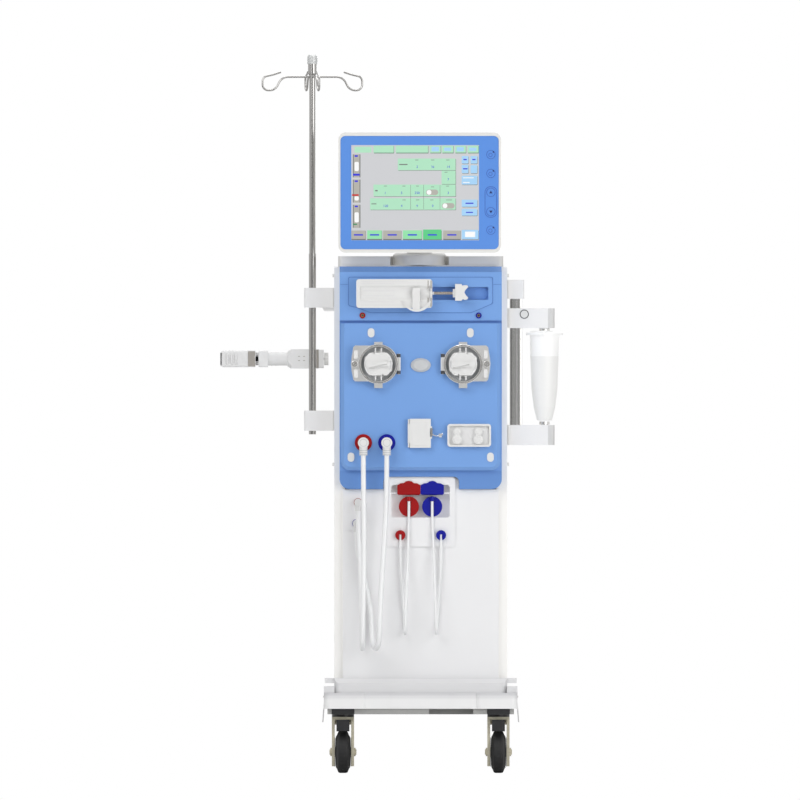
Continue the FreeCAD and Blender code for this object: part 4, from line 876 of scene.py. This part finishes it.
def make_pump_trim():
    for side, word in ((-1, "left"), (1, "right")):
        x = side * PUMP_X
        mesh = bmesh.new()
        finger_screw = [(8, 0), (8, 1.6), (6.6, 2.4), (3.2, 2.4), (2.8, 1.0)]
        solid_turn(mesh, finger_screw, at(side * 157.4, -274, PUMP_Z), FORWARD, 28)
        rim = [(46.8, 0), (45.4, 1.3), (43.4, 1.3), (41.4, 0)]
        lathe(mesh, rim, at(x, -268, PUMP_Z), FORWARD, 64)
        piece(f"{word}_cover_rim", mesh, BRIGHT, f"{word}_pump_cover")
        # White raised plates above and below the finger screw, where the metal cover shows bright blobs:
        # painted highlight
        mesh = bmesh.new()
        for low, high in ((940, 961.5), (985.3, 1006.8)):
            span = sorted((side * 149.6, side * 159.4))
            plate(mesh, rounded(span, (low + 0.6, high - 0.6), 2, 4), (-271.2, -269.9), 0.5)
        piece(f"{word}_cover_highlights", mesh, PLASTIC, f"{word}_pump_cover")
        mesh = bmesh.new()
        for low in (949.4, 989.6):
            end = [(4.9, 0), (4.9, 7.8), (4.45, 7.8), (4.45, 0)]
            lathe(mesh, end, at(side * HINGE_X, HINGE_Y, low), UP, 24)
        piece(f"{word}_hinge_ends", mesh, DARK_PLASTIC, "cabinet")
        mesh = bmesh.new()
        barrel = [(5.05, 0), (5.05, 30), (4.75, 30), (4.75, 0)]
        lathe(mesh, barrel, at(side * HINGE_X, HINGE_Y, 958.4), UP, 24)
        piece(f"{word}_hinge_barrel", mesh, PLASTIC, f"{word}_pump_cover")
        mesh = bmesh.new()
        plate(mesh, lens_outline(x, PUMP_Z, 31.5, 24), (-277.0, -275.9), 0.8)
        piece(f"{word}_rotor_face", mesh, PLASTIC, f"{word}_rotor")
        wave = [(x + step, PUMP_Z - 0.6 + 4.6 * math.sin(step / 17)) for step in range(-23, 25, 4)]
        mesh = bmesh.new()
        strip(mesh, wave, 5.4, (-285.4, -283.5), 0.8)
        piece(f"{word}_crank_ridge", mesh, PLASTIC, f"{word}_crank")
        # A grey strip under the ridge: painted shadow
        mesh = bmesh.new()
        strip(mesh, [(a, b - 4.4) for a, b in wave], 3.6, (-284.0, -283.6), 0.1)
        piece(f"{word}_crank_shade", mesh, CRANK_SHADOW_GREY, f"{word}_crank")
        mesh = bmesh.new()
        floor = [(40.7, 0), (40.7, 0.6), (31.6, 0.6), (31.6, 0)]
        wall = [(40.8, 0), (40.8, 13), (40.2, 13), (40.2, 0)]
        for profile in (floor, wall):
            lathe(mesh, profile, at(x, -249.1, PUMP_Z), FORWARD, 64)
        piece(f"{word}_raceway_floor", mesh, RACEWAY_GREY, "cabinet")


def make_syringe_trim():
    # Raised ribs on the syringe cradle, coloured grey: painted shade of the ribs
    mesh = bmesh.new()
    for z, right in ((1113, -30), (1120.5, -62), (1163.5, -62), (1169.5, -30)):
        plate(mesh, rounded((-143, right), (z, z + 1.8), 0.8, 3), (-280.9, -279.9), 0.4)
    for z in (1135.5, 1146.5):
        plate(mesh, rounded((-138, -62), (z, z + 2), 0.9, 3), (-273.6, -272.2), 0.4)
    piece("cradle_ridges_and_shade", mesh, GREY_PLASTIC, "cabinet")
    # A darker blue line along the edge of the raised surround around the syringe, with short lines out to
    # the panel's sides: painted shade at that edge
    mesh = bmesh.new()
    outline = [(-172.6, 1180.8), (-172.6, 1112), (-148, 1106), (-120, 1094.8)]
    outline += [(120, 1094.8), (140, 1103), (172, 1117), (172, 1180.8)]
    inner = [(-171.2, 1179.4), (-171.2, 1113), (-147.6, 1107.3), (-119.7, 1096.2)]
    inner += [(119.7, 1096.2), (139.5, 1104.3), (170.6, 1117.8), (170.6, 1179.4)]
    frame_loop(mesh, softened(outline, 5), softened(inner, 4.6), -241.1, -240.4)
    for side in (-1, 1):
        span = sorted((side * 173, side * 191.5))
        plate(mesh, rounded(span, (1162.4, 1163.6), 0.5, 2), (-240.5, -239.8), 0.1)
    piece("surround_edge_shade", mesh, PANEL_EDGE_SHADE, "cabinet")
    mesh = bmesh.new()
    for low, high in ((1109.5, 1131.5), (1152.5, 1172.5)):
        plate(mesh, rounded((16.6, 18.6), (low, high), 0.8, 3), (-280.5, -279.9), 0.2)
        plate(mesh, rounded((23.4, 26.2), (low, high), 1.2, 3), (-280.5, -279.9), 0.3)
    piece("cradle_end_strip", mesh, ROD_GREY, "cabinet")
    # The trough floor and its ribs in the darker blue: painted shade in the trough
    mesh = bmesh.new()
    plate(mesh, rounded((29, 160), (1127.5, 1155), 11, 8), (-224.4, -223.7), 0.3)
    for z in (1134, 1147):
        plate(mesh, rounded((31, 154), (z, z + 1.6), 0.7, 3), (-225.2, -224.3), 0.3)
    piece("trough_floor", mesh, TROUGH_SHADE_BLUE, "cabinet")
    mesh = bmesh.new()
    solid_turn(mesh, [(3.83, 0), (3.83, 44)], at(32, -249, 1142), (1, 0, 0), 24)
    piece("drive_rod_sleeve", mesh, ROD_STEEL, "syringe_pusher", False)


def make_clip_trim():
    mesh = bmesh.new()
    plate(mesh, rounded((69, 162), (782, 825), 3.5, 5), (FACE_LOWER - 8.5, FACE_LOWER - 7.9), 0.3)
    piece("clip_field", mesh, GREY_PLASTIC, "cabinet")
    mesh = bmesh.new()
    for x in (86.6, 137.3):
        large = [(8.6, 0), (8.6, 0.8), (7.2, 1.4), (2, 1.5)]
        small = [(6.6, 0), (6.6, 0.7), (5.4, 1.2), (2, 1.3)]
        for head, z in ((large, 794), (small, 813)):
            solid_turn(mesh, head, at(x, FACE_LOWER - 17, z), FORWARD, 28)
    piece("peg_heads", mesh, PLASTIC, "cabinet")
    mesh = bmesh.new()
    plate(mesh, rounded((-21, 12), (779, 838), 4, 5), (-263.8, -262.9), 0.5)
    piece("door_relief", mesh, PLASTIC, "detector_door")


def make_pole_cap():
    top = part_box("inner_pole")[1].z / MM
    mesh = bmesh.new()
    profile = [(12.06, top - 21), (12.06, top - 3), (9.1, top - 0.02)]
    profile += [(8.9, top - 0.1), (11.9, top - 3.1), (11.9, top - 21)]
    lathe(mesh, profile, at(*POLE, 0), UP, 36)
    piece("pole_cap_shell", mesh, CLEAR_CAP, "inner_pole")


def make_holder_trim():
    mesh = bmesh.new()
    for x in (-462, -452, -442):
        plate(mesh, rounded((x - 0.4, x + 4.4), (974, 997), 1.5, 3), (-108, -106.9), 0.4)
    piece("jaw_grip", mesh, GREY_PLASTIC, "holder_jaw")
    mesh = bmesh.new()
    plate(mesh, rounded((-476.6, -474), (971, 1000), 1, 3), (-105, -103.9), 0.3)
    piece("jaw_end_edge", mesh, DARK_PLASTIC, "holder_jaw")
    mesh = bmesh.new()
    # A dark grey plate and a black plate in the jaw's mouth: painted shade of the clip's inside and a
    # painted shadow in its slot
    plate(mesh, rounded((-411, -394), (967.5, 1003.7), 1.5, 3), (-103.7, -102.9), 0.3)
    piece("jaw_mouth_shade", mesh, ROD_GREY, "holder_jaw")
    mesh = bmesh.new()
    plate(mesh, rounded((-393.4, -386.2), (973.5, 997.7), 1, 3), (-75.7, -74.9), 0.3)
    piece("jaw_mouth_shadow", mesh, BLACK, "holder_arm")
    mesh = bmesh.new()
    for x in (-356, -346):
        band = [(16.7, 0), (16.7, 2.4), (15.9, 2.4), (15.9, 0)]
        lathe(mesh, band, at(x, -85, HOLDER_HEIGHT), (1, 0, 0), 40)
    piece("arm_bands", mesh, GREY_PLASTIC, "holder_arm")
    mesh = bmesh.new()
    for x in (-292, -280):
        for z in (981, 991):
            plate(mesh, rounded((x, x + 5), (z, z + 1.4), 0.6, 3), (-103.6, -102.9), 0.2)
    # A dark grey strip just right of the pole: painted shade on the inner side of the clamp's jaw
    plate(mesh, rounded((-248.6, -243), (964, 1007), 1.2, 3), (-103.8, -102.9), 0.2)
    piece("clamp_marks_and_shade", mesh, ROD_GREY, "holder_clamp")


def make_station_trim():
    x, y = CARTRIDGE
    mesh = bmesh.new()
    profile = [(0.5, 844), (14.6, 844), (22.8, 874), (27.8, 915), (30.2, 972), (29, 978), (0.5, 979)]
    solid_turn(mesh, profile, at(x, y, 0), UP, 40)
    piece("cartridge_powder", mesh, POWDER, "cabinet")
    mesh = bmesh.new()
    for low, high in ((829.6, 836), (1052.5, 1057)):
        lathe(mesh, [(12.5, low), (12.5, high), (12.05, high), (12.05, low)], at(x, y, 0), UP, 36)
    piece("connector_rings", mesh, BRIGHT, "cabinet")
    mesh = bmesh.new()
    x, z = STATION_BUTTON
    lathe(mesh, [(10.8, 0), (10.8, 1.2), (8.95, 1.2), (8.95, 0)], at(x, -173, z), FORWARD, 32)
    piece("button_ring", mesh, DARK_PLASTIC, "station_arm")


def make_rear_trim():
    mesh = bmesh.new()
    for x, z in ((-7, 768), (7, 768), (0, 758)):
        plate(mesh, rounded((x - 1, x + 1), (z - 3, z + 3), 0.6, 2), (212.1, 219), 0.3)
    piece("mains_pins", mesh, BRIGHT, "cabinet")


make_studio()
finish_nodes()
make_hoses()
make_screen()
make_keys()
make_screws()
make_caster_trim()
make_port_trim()
make_bay_light_sheet()
make_caster_pads()
make_flap_trim()
make_pump_trim()
make_syringe_trim()
make_clip_trim()
make_pole_cap()
make_holder_trim()
make_station_trim()
make_rear_trim()
